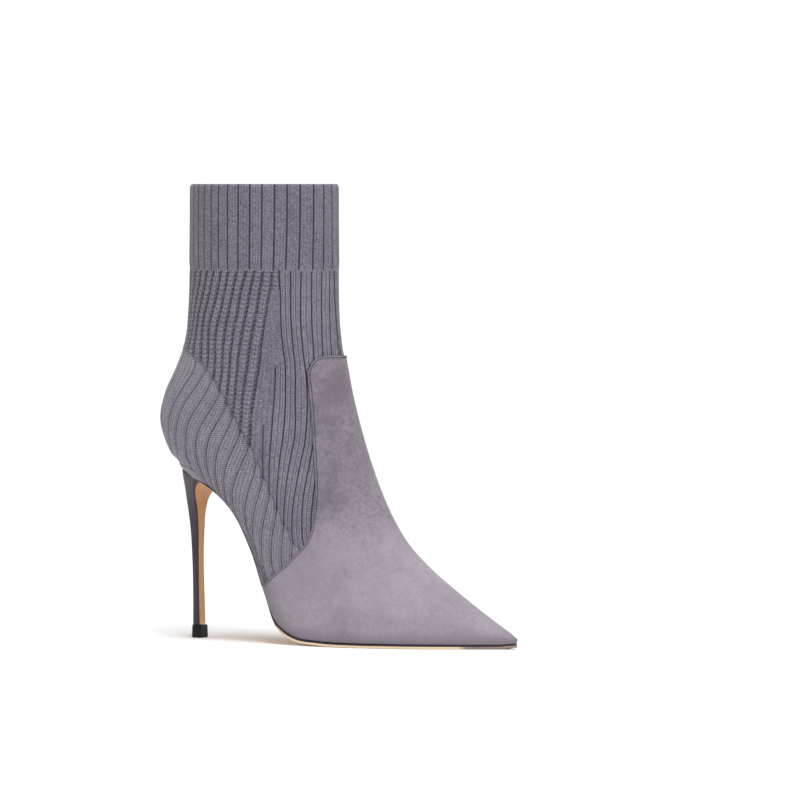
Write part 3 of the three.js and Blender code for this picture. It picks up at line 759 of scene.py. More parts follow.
VAMP_END = {side: vamp_end(side) for side in (-1, 1)}
print("suede ends from", VAMP_END[-1].min().round(1), "to", VAMP_END[-1].max().round(1), "mm along the boot")


# %% Sheets over both sides
# how far the edge is tucked round the sole, down and inwards, by the distance from the edge
TUCK_FROM_EDGE = [0.0, 0.5, 1.0, 1.6]
TUCK_DOWN = [1.15, 0.8, 0.35, 0.0]
TUCK_IN = [0.55, 0.12, 0.0, 0.0]


def arch_share(way):
    """1 along the arch, where the upper is tucked round the thin sole, 0 at the forefoot and the heel."""
    way = np.atleast_1d(way)
    return ease(curve(KNOT, ROWS[:, 1], way), FLAT + 2, FLAT + 22) * (1 - ease(way, 212, 226))


def sheet(skin, ways, turn, out=None):
    """One sheet over both sides; `ways` and `out` give for each side an array of rows by turns."""
    both = {}
    for side in (-1, 1):
        points = skin.at(ways[side], turn[None, :], side, 0.0 if out is None else out[side])
        start = ways[side][:, 0]
        if skin.level >= 0:
            s, share = stations_at(start), arch_share(start)[:, None]
            far = turn[None, :] * np.interp(start, WAYS, skin.arc[side])[:, None]
            lowered = np.interp(far, TUCK_FROM_EDGE, TUCK_DOWN) * share
            points[..., 0] -= s["nx"][:, None] * lowered
            points[..., 2] -= s["nz"][:, None] * lowered
            points[..., 1] -= side * np.interp(far, TUCK_FROM_EDGE, TUCK_IN) * share
        both[side] = points
    return np.concatenate([both[-1], both[1][:, -2::-1]], axis=1)


def coarse_sheet(skin, ways, turn):
    """The inner sheet of a shell, with every fourth point of the outer one."""
    return sheet(skin, {side: ways[side][::4, ::4] for side in (-1, 1)}, turn[::4])


def over_both(values):
    """Values of the two sides in the order of a sheet's columns."""
    return np.concatenate([values[-1], values[1][:, -2::-1]], axis=1)


def marks_over_both(marks):
    """Marks of a whole piece from the marks of its two sides."""
    return {name: over_both({side: marks[side][name] for side in (-1, 1)}).ravel() for name in marks[-1]}


def at_height(skin, side, turn, height):
    """Distance along the boot where each column of the leg reaches a height."""
    column = skin.read(skin.points[side], WAYS[:, None], turn[None, :])[..., 2]
    legs = WAYS > WRAP + 8
    return np.array([np.interp(height, column[legs, j], WAYS[legs]) for j in range(len(turn))])


arch_ways = WAYS[arch_share(WAYS) > 0.5]
print("arch from", arch_ways.min().round(0), "to", arch_ways.max().round(0), "mm along the boot")

# %% [markdown]
# ## A map of the knit
# The ribs run mostly upright, so the map of the knit uses the height and the level distance round one side,
# from the ridge at the front. Each dark furrow is one line chosen in the photograph. Between two
# furrows lies one rib, so a count of furrows that changes smoothly from line to line gives every rib its
# number, and the fraction of that count tells how far across the rib a place is.

# %% Height and distance round
LEVELS = np.linspace(16, 224, 209)
ANGLES = np.linspace(0, np.pi, 361)


def level_shapes():
    """Middle of each level section of the knit, front to back."""
    points = KNIT_SKIN.points[-1][WAYS > 90]
    front = np.interp(LEVELS, points[:, -1, 2], points[:, -1, 0])
    back = np.interp(LEVELS, np.maximum.accumulate(points[:, 0, 2]), points[:, 0, 0])
    return front * 0.45 + back * 0.55


LEVEL_MIDDLE = level_shapes()


def level_rounds(side):
    """Level distance from the ridge, for every height and angle round the middle, and the whole way back."""
    points = KNIT_SKIN.points[side][WAYS > 90]
    open_edge = points[:, 0][WAYS[WAYS > 90] < WRAP + 1]
    edge_run = run_along(open_edge[:, :2])
    table, whole = np.empty((len(LEVELS), len(ANGLES))), np.empty(len(LEVELS))
    low, high = points[:-1].reshape(-1, 3), points[1:].reshape(-1, 3)
    for k, (z, middle) in enumerate(zip(LEVELS, LEVEL_MIDDLE)):
        crossing = (low[:, 2] - z) * (high[:, 2] - z) <= 0
        a, b = low[crossing], high[crossing]
        spot = a + (b - a) * ((z - a[:, 2]) / (b[:, 2] - a[:, 2] + 1e-9))[:, None]
        angle = np.arctan2(np.abs(spot[:, 1]), middle - spot[:, 0])
        order = np.argsort(angle)
        reach = np.interp(ANGLES, angle[order], np.hypot(spot[order, 0] - middle, spot[order, 1]))
        run = run_along(np.column_stack([middle - reach * np.cos(ANGLES), reach * np.sin(ANGLES)]))
        start = np.interp(z, open_edge[:, 2], edge_run[-1] - edge_run) if z < open_edge[-1, 2] else 0.0
        table[k], whole[k] = run[-1] - run, run[-1] - np.interp(angle.min(), ANGLES, run) + start
    return table, whole


LEVEL_ROUND = {side: level_rounds(side) for side in (-1, 1)}


def grid_read(table, i, j):
    i = np.clip(i, 0, table.shape[0] - 1.001)
    j = np.clip(j, 0, table.shape[1] - 1.001)
    i0, j0 = i.astype(int), j.astype(int)
    u, v = i - i0, j - j0
    near = table[i0, j0] * (1 - v) + table[i0, j0 + 1] * v
    return near * (1 - u) + (table[i0 + 1, j0] * (1 - v) + table[i0 + 1, j0 + 1] * v) * u


def level_row(height):
    return (np.asarray(height, float) - LEVELS[0]) / (LEVELS[1] - LEVELS[0])


def knit_map(way, turn, side):
    """Height and distance from the ridge for places on the knit, the inner side matched to the outer."""
    spot = KNIT_SKIN.read(KNIT_SKIN.points[side], way, turn)
    height = spot[..., 2]
    middle = np.interp(height, LEVELS, LEVEL_MIDDLE)
    angle = np.arctan2(np.abs(spot[..., 1]), middle - spot[..., 0])
    table, whole = LEVEL_ROUND[side]
    away = grid_read(table, level_row(height), angle / np.pi * (len(ANGLES) - 1))
    return height, away * np.interp(height, LEVELS, LEVEL_ROUND[-1][1] / whole)


print("half way round the ankle:", LEVEL_ROUND[-1][1][150].round(1), "mm")

# %% Furrows, listed as pixels of the photograph
BACK_FURROWS = {
    0: [(196, 278), (194.5, 290), (192.5, 306)],
    1: [(201, 278), (199, 290), (197, 300), (195, 316), (192, 334)],
    2: [(207, 278), (205, 290), (202.5, 300), (200, 310), (198.5, 320), (197, 330), (195, 345)],
    3: [(213.5, 278), (211, 290), (209, 300), (206.5, 310), (204, 320), (203, 330), (202.5, 345), (202, 355)],
    4: [
        (221, 278), (219, 290), (216.5, 300), (214, 310), (211, 320), (209.5, 330), (209.5, 350),
        (209, 360), (207.5, 370),
    ],
    5: [
        (228, 278), (226, 290), (224, 300), (222, 310), (219.5, 320), (217, 330), (216, 340), (216.5, 360),
        (216, 370), (214, 380),
    ],
    6: [
        (236.5, 278), (234, 290), (232, 300), (230, 310), (228, 320), (226, 330), (225, 340), (223.5, 355),
        (223, 370), (222, 380), (220, 390),
    ],
    7: [
        (245.5, 278), (242, 290), (240, 300), (239, 310), (237, 320), (234.5, 330), (233.5, 340),
        (231, 360), (229.5, 380), (228, 400), (226, 410),
    ],
    8: [
        (254, 278), (251.5, 290), (249.5, 300), (248, 310), (245.5, 320), (243.5, 330), (242, 340),
        (239, 360), (237, 380), (235.5, 400), (233, 420),
    ],
    9: [
        (263, 278), (261, 290), (259.5, 300), (258, 310), (256, 320), (254, 330), (252, 340), (249, 360),
        (246, 380), (243, 400), (242, 420), (240, 440),
    ],
    10: [
        (273, 278), (271.5, 290), (269.5, 300), (268, 310), (266, 320), (264.5, 330), (263, 340),
        (261, 360), (257.5, 380), (254, 400), (251, 420), (250.5, 440), (249.5, 450),
    ],
}
FRONT_FURROWS = {
    11: [
        (275.8, 362), (276, 375), (275, 400), (273, 420), (271.5, 440), (270, 460), (269.5, 480),
        (269.5, 495),
    ],
    12: [
        (280, 278), (281, 300), (281.5, 325), (282.5, 340), (285.5, 360), (286.2, 380), (286, 400),
        (285, 420), (283, 440), (280, 460), (278, 480), (277, 500), (277, 515),
    ],
    13: [
        (291, 278), (291, 300), (291.5, 320), (293, 340), (295, 360), (296, 380), (296, 420), (295, 438),
        (290.5, 460), (287, 480), (285, 500), (284, 528),
    ],
    14: [
        (301.5, 278), (301, 300), (301, 320), (302.5, 340), (304.5, 360), (307, 378), (308, 400),
        (307, 425), (305, 445), (301.5, 460), (297.5, 480), (294, 500), (292, 520), (293, 543),
    ],
    15: [
        (312, 278), (312, 300), (312.5, 330), (314, 350), (314.5, 400), (314, 440), (311, 458),
        (306.5, 480), (303, 500), (302, 520), (303, 543),
    ],
    16: [
        (322, 278), (322, 320), (323, 350), (323.5, 400), (322, 440), (318, 465), (315, 485), (312.5, 505),
        (311.5, 540),
    ],
    17: [
        (330, 278), (330, 320), (331.8, 350), (332, 400), (330, 440), (326, 465), (323, 485), (321, 505),
        (320, 540),
    ],
    18: [(335.5, 278), (336.5, 320), (338.5, 350)],
}
HEEL_FURROWS = {
    1: [
        (195, 372), (189, 380), (184, 388), (179, 396), (174.5, 404), (171.5, 412), (169.5, 420),
        (169, 430), (170, 442),
    ],
    2: [
        (206.5, 371), (202, 379), (196, 388), (190, 396), (185, 404), (181, 412), (178, 421), (177, 430),
        (176.5, 444), (178, 453),
    ],
    3: [
        (213.5, 379), (209.5, 388), (205, 396), (200, 404), (194.5, 412), (190, 420), (187, 429),
        (186.2, 442), (187, 454), (192, 467),
    ],
    4: [
        (219.5, 396), (215, 404), (210, 412), (205, 420), (200, 428), (197, 437), (196.3, 450), (198, 461),
        (203.5, 475),
    ],
    5: [
        (227, 405), (224, 412), (219.5, 420), (214.5, 428), (210, 437), (207.5, 446), (206.5, 456),
        (208, 470), (212, 483),
    ],
    6: [
        (232.5, 420), (229.5, 428), (224.5, 436), (220.5, 445), (217.5, 454), (215.5, 463), (216, 476),
        (218, 486),
    ],
    7: [(240, 435), (236.5, 444), (232, 452), (228.5, 460), (225.5, 469), (224, 480), (225, 493)],
    8: [(248, 452), (244, 460), (240, 468), (236.5, 476), (233.5, 485), (232, 494), (233, 503)],
    9: [(256, 468), (254, 476), (251, 484), (248, 493), (246, 502), (245, 511), (246, 523)],
    10: [(262.5, 483), (260, 492), (257.5, 500), (255, 508), (253.5, 518), (252.5, 530), (253.5, 542)],
    11: [(269.5, 496), (267, 508), (264.5, 518), (262.5, 530), (261, 542), (261.5, 556)],
    12: [(276.5, 512), (275, 522), (272.5, 534), (271, 546), (271, 558)],
    13: [(284, 527), (282.5, 538), (281, 550), (281, 560)],
    14: [(292.5, 542), (291, 554)],
}
WEDGE_SLIT = [(263.8, 418), (263.2, 430), (262.6, 445), (262.4, 460), (262.8, 478)]
GORE = [(180, 346), (188, 352), (196, 359), (204, 367), (212, 378), (220, 393)]
GORE += [(227, 406), (234, 420), (241, 434), (249, 447), (256, 463), (263, 480)]
GORE += [(270, 496), (277, 512), (285, 528), (293, 543), (299, 553)]


def furrow_at_levels(pixels, steepest=0.5):
    """Distance from the ridge at every height, for one furrow."""
    places = line_of(pixels)
    height, away = knit_map(places[:, 0], places[:, 1], -1)
    order = np.argsort(height)
    height, away = height[order], away[order]
    ends = []
    for k, m in ((0, 1), (-1, -2)):
        slope = (away[k] - away[m]) / (height[k] - height[m]) if abs(height[k] - height[m]) > 1 else 0.0
        ends.append(float(np.clip(slope, -steepest, steepest)))
    low, high = np.minimum(LEVELS - height[0], 0), np.maximum(LEVELS - height[-1], 0)
    line = np.interp(LEVELS, height, away) - ends[0] * 8 * np.tanh(-low / 8) + ends[1] * 8 * np.tanh(high / 8)
    weight = np.exp(-((np.arange(-8, 9) / 3.0) ** 2))
    return np.convolve(np.pad(line, 8, mode="edge"), weight / weight.sum(), mode="valid")


AWAYS = np.linspace(0, 240, 961)


def counted(furrows, back_count, ridge_count=None):
    """Table of the furrow count over height and distance from the ridge."""
    counts = sorted(furrows, reverse=True)
    lines = np.stack([furrow_at_levels(furrows[k]) for k in counts], 1)
    table = np.empty((len(LEVELS), len(AWAYS)))
    for k, row in enumerate(lines):
        row = np.maximum.accumulate(np.maximum(row, 0.5) + np.arange(len(row)) * 0.05)
        first = (0.0, ridge_count) if ridge_count else (row[0] - 10, counts[0] + 1)
        nodes = [first[0], *row, max(LEVEL_ROUND[-1][1][k], row[-1] + 1)]
        table[k] = np.interp(AWAYS, nodes, [first[1], *counts, back_count])
    return table


BACK_COUNT, RIDGE_COUNT, HEEL_BACK_COUNT = -3.5, 19.2, -1.5
LEG_COUNT = counted({**BACK_FURROWS, **FRONT_FURROWS}, BACK_COUNT, RIDGE_COUNT)
HEEL_COUNT = counted(HEEL_FURROWS, HEEL_BACK_COUNT)
slit_line, gore_line = furrow_at_levels(WEDGE_SLIT), furrow_at_levels(GORE, 3.0)
print("gore at the seat height:", gore_line[int(level_row(101))].round(1), "mm from the ridge")

# %% [markdown]
# ## Relief of the ribs
# The sock is knitted in four ways. The back of the leg has thick round ribs, the front has pairs of fine
# ribs, a plain wedge lies between them, and the heel has wide flat ribs whose round tips overlap the leg
# along the gore. The relief is real geometry: every point of the outer sheet moves out or in by the height
# of its rib.


# %% Rib profiles
SCALLOP = 2.6
TIP_REACH = 2.4
LEG_PAST_GORE = 172
CREASE_TOP = 170
# the wedge: the furrow in front of it below and above this height, and where it ends under the cuff
WEDGE_FURROW, WEDGE_SPLIT, WEDGE_TOP = 10.97, (163, 166), (205, 212)
SLIT_LOW, SLIT_HIGH = (92, 95), (129, 131)


def fraction(count):
    return count - np.floor(count)


def furrow(count, wide):
    """1 in the furrow, 0 from this far (in ribs) beside it."""
    off = np.abs(fraction(count + 0.5) - 0.5)
    return 1 - ease(off, 0, wide)


def rate(table, row, col):
    """How fast a count changes, in ribs a millimetre."""
    change = grid_read(table, row, col + 2) - grid_read(table, row, col - 2)
    return np.clip(np.abs(change) / (4 * (AWAYS[1] - AWAYS[0])), 0.05, 0.5)


def knit_relief(way, turn, side):
    """Height over the knit skin, and the marks that the knit's material reads."""
    height, away = knit_map(way, turn, side)
    row, col = level_row(height), away / (AWAYS[1] - AWAYS[0])
    leg, heel = grid_read(LEG_COUNT, row, col), grid_read(HEEL_COUNT, row, col)
    leg_rate, heel_rate = rate(LEG_COUNT, row, col), rate(HEEL_COUNT, row, col)
    tip = TIP_REACH * (np.sin(np.pi * fraction(heel)) - 0.45)
    past_gore = np.interp(height, LEVELS, gore_line) - away - tip
    past_gore += np.maximum(height - LEG_PAST_GORE, 0) * 4
    is_heel = 1 - ease(past_gore, -0.5, 0.5)
    wedge_end = WEDGE_FURROW + ease(height, *WEDGE_SPLIT)
    is_front = ease(leg, wedge_end - 0.1, wedge_end + 0.05)
    is_wedge = ease(leg, 10.03, 10.16) * (1 - ease(leg, wedge_end - 0.14, wedge_end))
    is_wedge *= 1 - ease(height, *WEDGE_TOP)
    f = fraction(leg)
    twist = np.sin(2 * np.pi * (height / SCALLOP + 0.35 * np.sin(2 * np.pi * f)))
    round_rib = -0.62 + 1.0 * ease(f + 0.03 * twist, 0.05, 0.36) * (1 - ease(f, 0.5, 1.0)) ** 0.8
    main = furrow(leg, 1.0 * leg_rate)
    pairs = -0.22 + 0.3 * np.abs(np.sin(2 * np.pi * f)) ** 0.6 - 0.28 * main
    leg_height = round_rib * (1 - is_front) + pairs * is_front
    leg_height = leg_height * (1 - is_wedge) + 0.02 * is_wedge
    heel_height = 0.2 - 0.5 * furrow(heel, 0.95 * heel_rate) - 0.12 * furrow(heel + 0.5, 0.3)
    crease = np.exp(-((past_gore / 0.8) ** 2)) * (height < CREASE_TOP)
    slit = np.exp(-(((away - np.interp(height, LEVELS, slit_line)) / 0.75) ** 2))
    slit = slit * ease(height, *SLIT_LOW) * (1 - ease(height, *SLIT_HIGH))
    out = leg_height * (1 - is_heel) + heel_height * is_heel
    out = out - 0.25 * crease - 0.3 * slit * (1 - is_heel)
    # painted shade: `dark` darkens the sides of the rope ribs' furrows, the wedge slit and the gore crease
    side_shade = ease(f, 0.62, 0.98) * (1 - ease(f, 0.98, 1.0)) + (1 - ease(f + 0.05 * twist, 0.0, 0.2))
    dark = np.clip(side_shade, 0, 1) * 0.7 * (1 - is_front) * (1 - is_wedge)
    dark = np.maximum(dark, 0.75 * slit) * (1 - is_heel)
    dark = np.maximum(dark, 0.55 * crease * (1 - 0.6 * is_heel))
    marks = {
        "rib": np.where(is_heel > 0.5, heel, leg),
        "up": height,
        "dark": dark,
        "rope": (1 - is_front) * (1 - is_heel) * (1 - is_wedge),
        "pairs": is_front * (1 - is_wedge) * ease(0.5 - is_heel, 0.3, 0.5),
        "heel": ease(is_heel, 0.8, 1.0),
        "pace": 1 / np.where(is_heel > 0.5, heel_rate, leg_rate),
        "hem": np.zeros(np.shape(out)),
    }
    return out, marks


print("thick ribs on one side, back to wedge:", 10 - BACK_COUNT)

# %% [markdown]
# ## The vamp
# The vamp is one cut of suede, stretched over the forefoot and turned under at the sole. It is a shell
# between the two suede skins, from a small rounded point at the toe to the seam.

# %% Vamp
VAMP_ROWS, VAMP_COLS = 161, 101
NOSE_SHARES = [0.12, 0.5, 0.82, 0.96]
TAB_SHADE_UP = (38, 96)
vamp_turns = np.linspace(0, 1, VAMP_COLS)


def toe_nose(front, forward, shares):
    """Rows in front of the first one, drawn together into a small rounded point."""
    centre = front.mean(0)
    centre[1], centre[2] = 0, 0.88 * front[:, 2].min() + 0.12 * front[:, 2].max()
    reach = forward * np.sqrt(1 - np.asarray(shares) ** 2)
    return [centre + (front - centre) * k + [x, 0, 0] for k, x in zip(shares, reach)]


def suede_sheet(skin, rows, turns, forward):
    """Sheet of a suede skin up to the seam, its first rows lowered into the flat point of the toe."""
    share = np.linspace(0, 1, rows)[:, None]
    ways = {s: share * np.interp(turns, TURNS, VAMP_END[s])[None, :] for s in (-1, 1)}
    body = sheet(skin, ways, turns)
    start = over_both(ways)
    body[..., 2] -= 0.16 * (body[..., 2] - body[..., 2].min(1, keepdims=True)) * (1 - ease(start, 0, 6))
    nose = toe_nose(body[0], forward, NOSE_SHARES)
    return np.concatenate([np.stack(nose), body]), ways


def with_nose(values):
    """Values for a sheet with the rows of the nose, which take those of the first row."""
    return np.concatenate([np.repeat(values[:1], len(NOSE_SHARES), axis=0), values])


vamp_outer, vamp_ways = suede_sheet(SUEDE_OUT, VAMP_ROWS, vamp_turns, 0.6)
vamp_inner = suede_sheet(SUEDE_IN, VAMP_ROWS, vamp_turns, 0.3)[0][::4, ::4]
over_sole = vamp_outer[:, :, 2] - np.minimum(vamp_outer[:, :1, 2], vamp_outer[:, -1:, 2])
seam_ways = {s: np.interp(vamp_turns, TURNS, VAMP_END[s])[None, :] for s in (-1, 1)}
from_seam = over_both({s: seam_ways[s] - vamp_ways[s] for s in (-1, 1)})
# painted shade: `low` darkens the suede just above the sole, `back` darkens it up the tab
marks = {
    "low": (1 - ease(over_sole, 0.5, 9.0)).ravel(),
    "rim": (1 - ease(with_nose(from_seam), 0.3, 2.2)).ravel(),
    "back": ease(vamp_outer[..., 2], *TAB_SHADE_UP).ravel(),
}
vamp_shell = shell(vamp_outer, vamp_inner, keep=4)
write_piece("vamp", vamp_shell, ["vamp"], VAMP_SUEDE, marks)

# %% [markdown]
# ## The knit body
# The sock's body goes from under the edge of the suede up to the cuff. Its columns lie half a millimetre
# apart, so that the furrows stay crisp. Along the arch its edge is tucked round the thin sole.

# %% Knit body
BODY_ROWS, BODY_COLS = 173, 229
CUFF_EDGE = CUFF_LOW + 2.1
UNDER_SUEDE = 6.0
body_turns = np.linspace(0, 1, BODY_COLS)
body_start = {s: np.interp(body_turns, TURNS, VAMP_END[s]) - UNDER_SUEDE for s in (-1, 1)}
body_end = {s: at_height(KNIT_SKIN, s, body_turns, CUFF_EDGE - 1.2) for s in (-1, 1)}
body_start[1][0], body_end[1][0] = body_start[-1][0], body_end[-1][0]
wrap_share = (WRAP - body_start[-1][0]) / (body_end[-1][0] - body_start[-1][0])
BODY_WRAP = int(round(wrap_share * (BODY_ROWS - 1) / 4)) * 4
body_share = np.interp(np.arange(BODY_ROWS), [0, BODY_WRAP, BODY_ROWS - 1], [0, wrap_share, 1])[:, None]
body_ways = {s: body_start[s] + (body_end[s] - body_start[s]) * body_share for s in (-1, 1)}

body_out, body_marks = {}, {}
for s in (-1, 1):
    way, turn = body_ways[s], np.broadcast_to(body_turns, body_ways[s].shape)
    relief, marks = knit_relief(way, turn, s)
    free = ease(way - np.interp(turn, TURNS, VAMP_END[s]), -0.6, 1.2)
    near_cuff = ease(marks["up"], CUFF_EDGE - 1.9, CUFF_EDGE - 1.2)
    body_out[s] = relief * free - 0.3 * (1 - free) - 0.1 * near_cuff
    # painted shadow of the suede's edge on the knit, just past the seam
    marks["dark"] = np.maximum(marks["dark"], 0.85 * (1 - free))
    body_marks[s] = marks
KNIT_BACK = Skin(-1.25)
body_outer = sheet(KNIT_SKIN, body_ways, body_turns, body_out)
body_inner = coarse_sheet(KNIT_BACK, body_ways, body_turns)
body_shell = shell(body_outer, body_inner, keep=4, wrap=BODY_WRAP)
write_piece("knit_body", body_shell, ["upper"], KNIT, marks_over_both(body_marks))

# %% [markdown]
# ## The cuff
# The wide cuff is knitted double, in flat ribs about six millimetres wide with a narrow groove between
# them. Its top edge folds inwards, and each rib ends below in a low arch with a paler hem.

# %% Cuff
CUFF_SKIN = Skin(CUFF_STEP)
CUFF_GROOVES = [195, 199.5, 205, 212, 219, 228, 238.5, 250, 262, 274.5, 287, 300, 313.5, 323.5, 331.5]
GROOVE_LINE_Y = 200
CUFF_RIBS_BEHIND = 22
cuff_turns = np.linspace(0, 1, BODY_COLS)
half_ring = float(CUFF_SKIN.arc[-1][-1])
groove_run = [place_of((x, GROOVE_LINE_Y))[1] * half_ring for x in CUFF_GROOVES]
behind = np.linspace(groove_run[-1], groove_run[0] + 2 * half_ring, CUFF_RIBS_BEHIND + 1)[1:]
groove_ring = np.r_[groove_run, behind]
groove_count = np.arange(len(groove_ring))
cuff_ribs = len(groove_ring) - 1
print("cuff ribs:", cuff_ribs, "about", round(2 * half_ring / cuff_ribs, 2), "mm wide")


def cuff_count(turn, side):
    """Number of the cuff's rib, counted round the whole ring."""
    run = turn * half_ring if side < 0 else (2 - turn) * half_ring
    return np.interp(np.where(run < groove_ring[0], run + 2 * half_ring, run), groove_ring, groove_count)


lower = np.array([-1.35, -1.3, -1.15, -0.85, -0.4])
cuff_heights = np.r_[CUFF_EDGE + lower, np.linspace(CUFF_EDGE + 0.4, COLLAR - 3.4, 53)]
cuff_heights = np.r_[cuff_heights, COLLAR - 2.2, COLLAR - 1.2, COLLAR - 0.6, COLLAR - 0.25, COLLAR]
cuff_base = np.r_[-0.75, -0.5, -0.38, -0.34, -0.32, -0.3, -0.24, -0.17, -0.1, -0.04, np.zeros(49)]
cuff_base = np.r_[cuff_base, -0.25, -0.6, -1.0, -1.45]
low_part = 1 - ease(cuff_heights, CUFF_EDGE - 1.4, CUFF_EDGE + 3)
in_hem = 1 - ease(cuff_heights, CUFF_EDGE - 1.2, CUFF_EDGE + 0.1)
whole = ease(cuff_heights, CUFF_EDGE - 1.3, CUFF_EDGE - 0.8)
whole = whole * (1 - 0.7 * ease(cuff_heights, COLLAR - 0.9, COLLAR))
cuff_ways, cuff_out, cuff_marks = {}, {}, {}
for s in (-1, 1):
    count = cuff_count(cuff_turns, s)
    arch = -0.9 * (1 - np.sin(np.pi * fraction(count)) ** 0.5)
    cuff_ways[s] = np.stack([at_height(CUFF_SKIN, s, cuff_turns, z) for z in cuff_heights])
    cuff_ways[s] += low_part[:, None] * arch[None, :]
    # the grooves also darken the colour through the `dark` mark, as painted shade
    groove = furrow(count, 0.12)[None, :]
    cuff_out[s] = cuff_base[:, None] - (0.6 * groove - 0.08 * furrow(count + 0.5, 0.5)) * whole[:, None]
    shape = cuff_ways[s].shape
    cuff_marks[s] = {name: np.zeros(shape) for name in ("rope", "pairs", "heel")}
    cuff_marks[s] |= {
        "rib": np.broadcast_to(count, shape),
        "up": np.broadcast_to(cuff_heights[:, None], shape),
        "dark": np.broadcast_to(groove, shape),
        "pace": np.ones(shape),
        "hem": in_hem[:, None] * (0.25 + 0.6 * furrow(count, 0.3)),
    }
for table in (cuff_ways, cuff_out):
    table[1][:, 0] = table[-1][:, 0]
cuff_outer = sheet(CUFF_SKIN, cuff_ways, cuff_turns, cuff_out)
cuff_shell = shell(cuff_outer, coarse_sheet(KNIT_BACK, cuff_ways, cuff_turns), keep=4, wrap=0)
write_piece("cuff", cuff_shell, ["upper"], KNIT, marks_over_both(cuff_marks))

# %% [markdown]
# ## The lining
# Inside, a soft lining runs from the toes to the collar, and a board closes the bottom. Both are seen only
# from above, through the collar.

# %% Lining and insole board
LINING_OUT, LINING_IN = Skin(-1.3), Skin(-KNIT_WALL)
LINING_ROWS, LINING_COLS, LINING_START = 121, 61, 30
lining_turns = np.linspace(0, 1, LINING_COLS)
lining_wrap = int(round((WRAP - LINING_START) / (WHOLE - LINING_START) * (LINING_ROWS - 1)))
lining_way = np.interp(
    np.arange(LINING_ROWS), [0, lining_wrap, LINING_ROWS - 1], [LINING_START, WRAP, WHOLE - 1.2]
)
lining_ways = {s: np.repeat(lining_way[:, None], LINING_COLS, 1) for s in (-1, 1)}
lining_outer, lining_inner = (sheet(skin, lining_ways, lining_turns) for skin in (LINING_OUT, LINING_IN))
lining_shell = shell(lining_outer, lining_inner, wrap=lining_wrap)
write_piece("lining", lining_shell, ["upper"], LINING)

# %% Sole line
sole_rows = stations_at(np.linspace(0, KNOT[SEAT_ROW + 1], 400))
order = np.argsort(sole_rows["bx"])
SOLE_X, SOLE_Z = sole_rows["bx"][order], sole_rows["bz"][order]
SEAT_Z = float(ROWS[SEAT_ROW, 1])


def sole_height(x, under=0.0):
    """Height of the line on which the upper meets the sole, or of a line this far under it."""
    slope = np.gradient(SOLE_Z, SOLE_X)
    level = np.minimum(np.interp(x, SOLE_X, SOLE_Z), SEAT_Z)
    return level - under * np.hypot(1, np.interp(x, SOLE_X, slope))


def way_at_run(x):
    """Distance along the boot where the sole line stands this far in front of the heel tip."""
    ways = np.linspace(0, KNOT[SEAT_ROW + 1], 1200)
    runs = curve(KNOT, ROWS[:, 0], ways)
    return float(np.interp(-x, -runs, ways))


def sole_strip(ways, profile):
    """Loops across the sole line; `profile` gives for a station the points (across, above the line)."""
    s = stations_at(np.asarray(ways))
    s["arch"] = arch_share(ways)
    loops = []
    for k in range(len(ways)):
        one = {name: values[k] for name, values in s.items()}
        loops.append([[one["bx"] + one["nx"] * h, y, one["bz"] + one["nz"] * h] for y, h in profile(one)])
    return np.array(loops)


def board_profile(one):
    """Section of the insole board, with its edges eased."""
    low, high = KNIT_WALL + GAP, KNIT_WALL + GAP + BOARD_WALL
    half = [max(w * one["feather"] - 2.6 - SINK * one["sink"], 1.0) for w in (one["out"], one["inn"])]
    up = [(0.6, low), (0.0, low + 0.5), (0.0, high - 0.5), (0.6, high)]
    return [(eased - half[0], z) for eased, z in up] + [(half[1] - eased, z) for eased, z in up[::-1]]


board_ways = np.linspace(way_at_run(0.88 * REACH), way_at_run(-4.0), 90)
board_body = rings(seat_in(sole_strip(board_ways, board_profile)))
write_piece("insole", board_body, ["insole"], LINING, flat_over=40)
print("the sole line stands", sole_height(12.0).round(1), "mm up at the front of the heel")

# %% [markdown]
# ## The outsole
# One thin strip of leather runs from the point of the toe, flat under the forefoot, up the arch and on
# between the heel and the seat. Its upper edge is painted dark, and the natural leather shows below it.

# %% Outsole
EDGE_PAINT = 0.95
HEEL_SOLE = 0.85
ARCH_INSET = 0.9


def sole_wall(one):
    """Thickness of the sole, thinner up the arch and thinner still where the heel carries it."""
    high = float(ease((one["bz"] - FLAT) / (0.3 * HEEL_HEIGHT), 0, 1))
    wall = FORE_SOLE + (WAIST_SOLE - FORE_SOLE) * high
    return HEEL_SOLE + (wall - HEEL_SOLE) * float(ease(one["bx"], 20, 36))


def sole_profile(one):
    """Section of the sole: an upright painted edge with the corner below it eased."""
    wall = sole_wall(one)
    paint = min(EDGE_PAINT, wall - 0.5)
    top = GAP * (0.1 + 0.9 * float(ease(SOLE_X.max() - one["bx"], 0, 12)))
    close = float(ease(one["bx"], 7.5, 15.0))
    half = []
    for w in (one["out"], one["inn"]):
        edge = w * one["feather"] + SOLE_EDGE - (SOLE_EDGE + ARCH_INSET) * one["arch"]
        half.append(11.5 + (edge - 11.5) * math.sqrt(close) if one["bx"] < 15 else edge)
    points = []
    for side, w in ((-1, half[0]), (1, half[1])):
        t = min(1.2, w * 0.4)
        edge = [
            (w * 0.55, -top),
            (w - 0.35, -top),
            (w - 0.08, -top - 0.1),
            (w, -GAP - 0.3),
            (w, -GAP - paint + 0.04),
            (w, -GAP - paint),
            (w - 0.12 * t, -GAP - wall + 0.55 * min(t, 0.8)),
            (w - 0.45 * t, -GAP - wall + 0.12),
            (w - t, -GAP - wall),
            (w * 0.5, -GAP - wall),
        ]
        part = [(side * y, h) for y, h in edge]
        points += part if side < 0 else part[::-1]
    return points


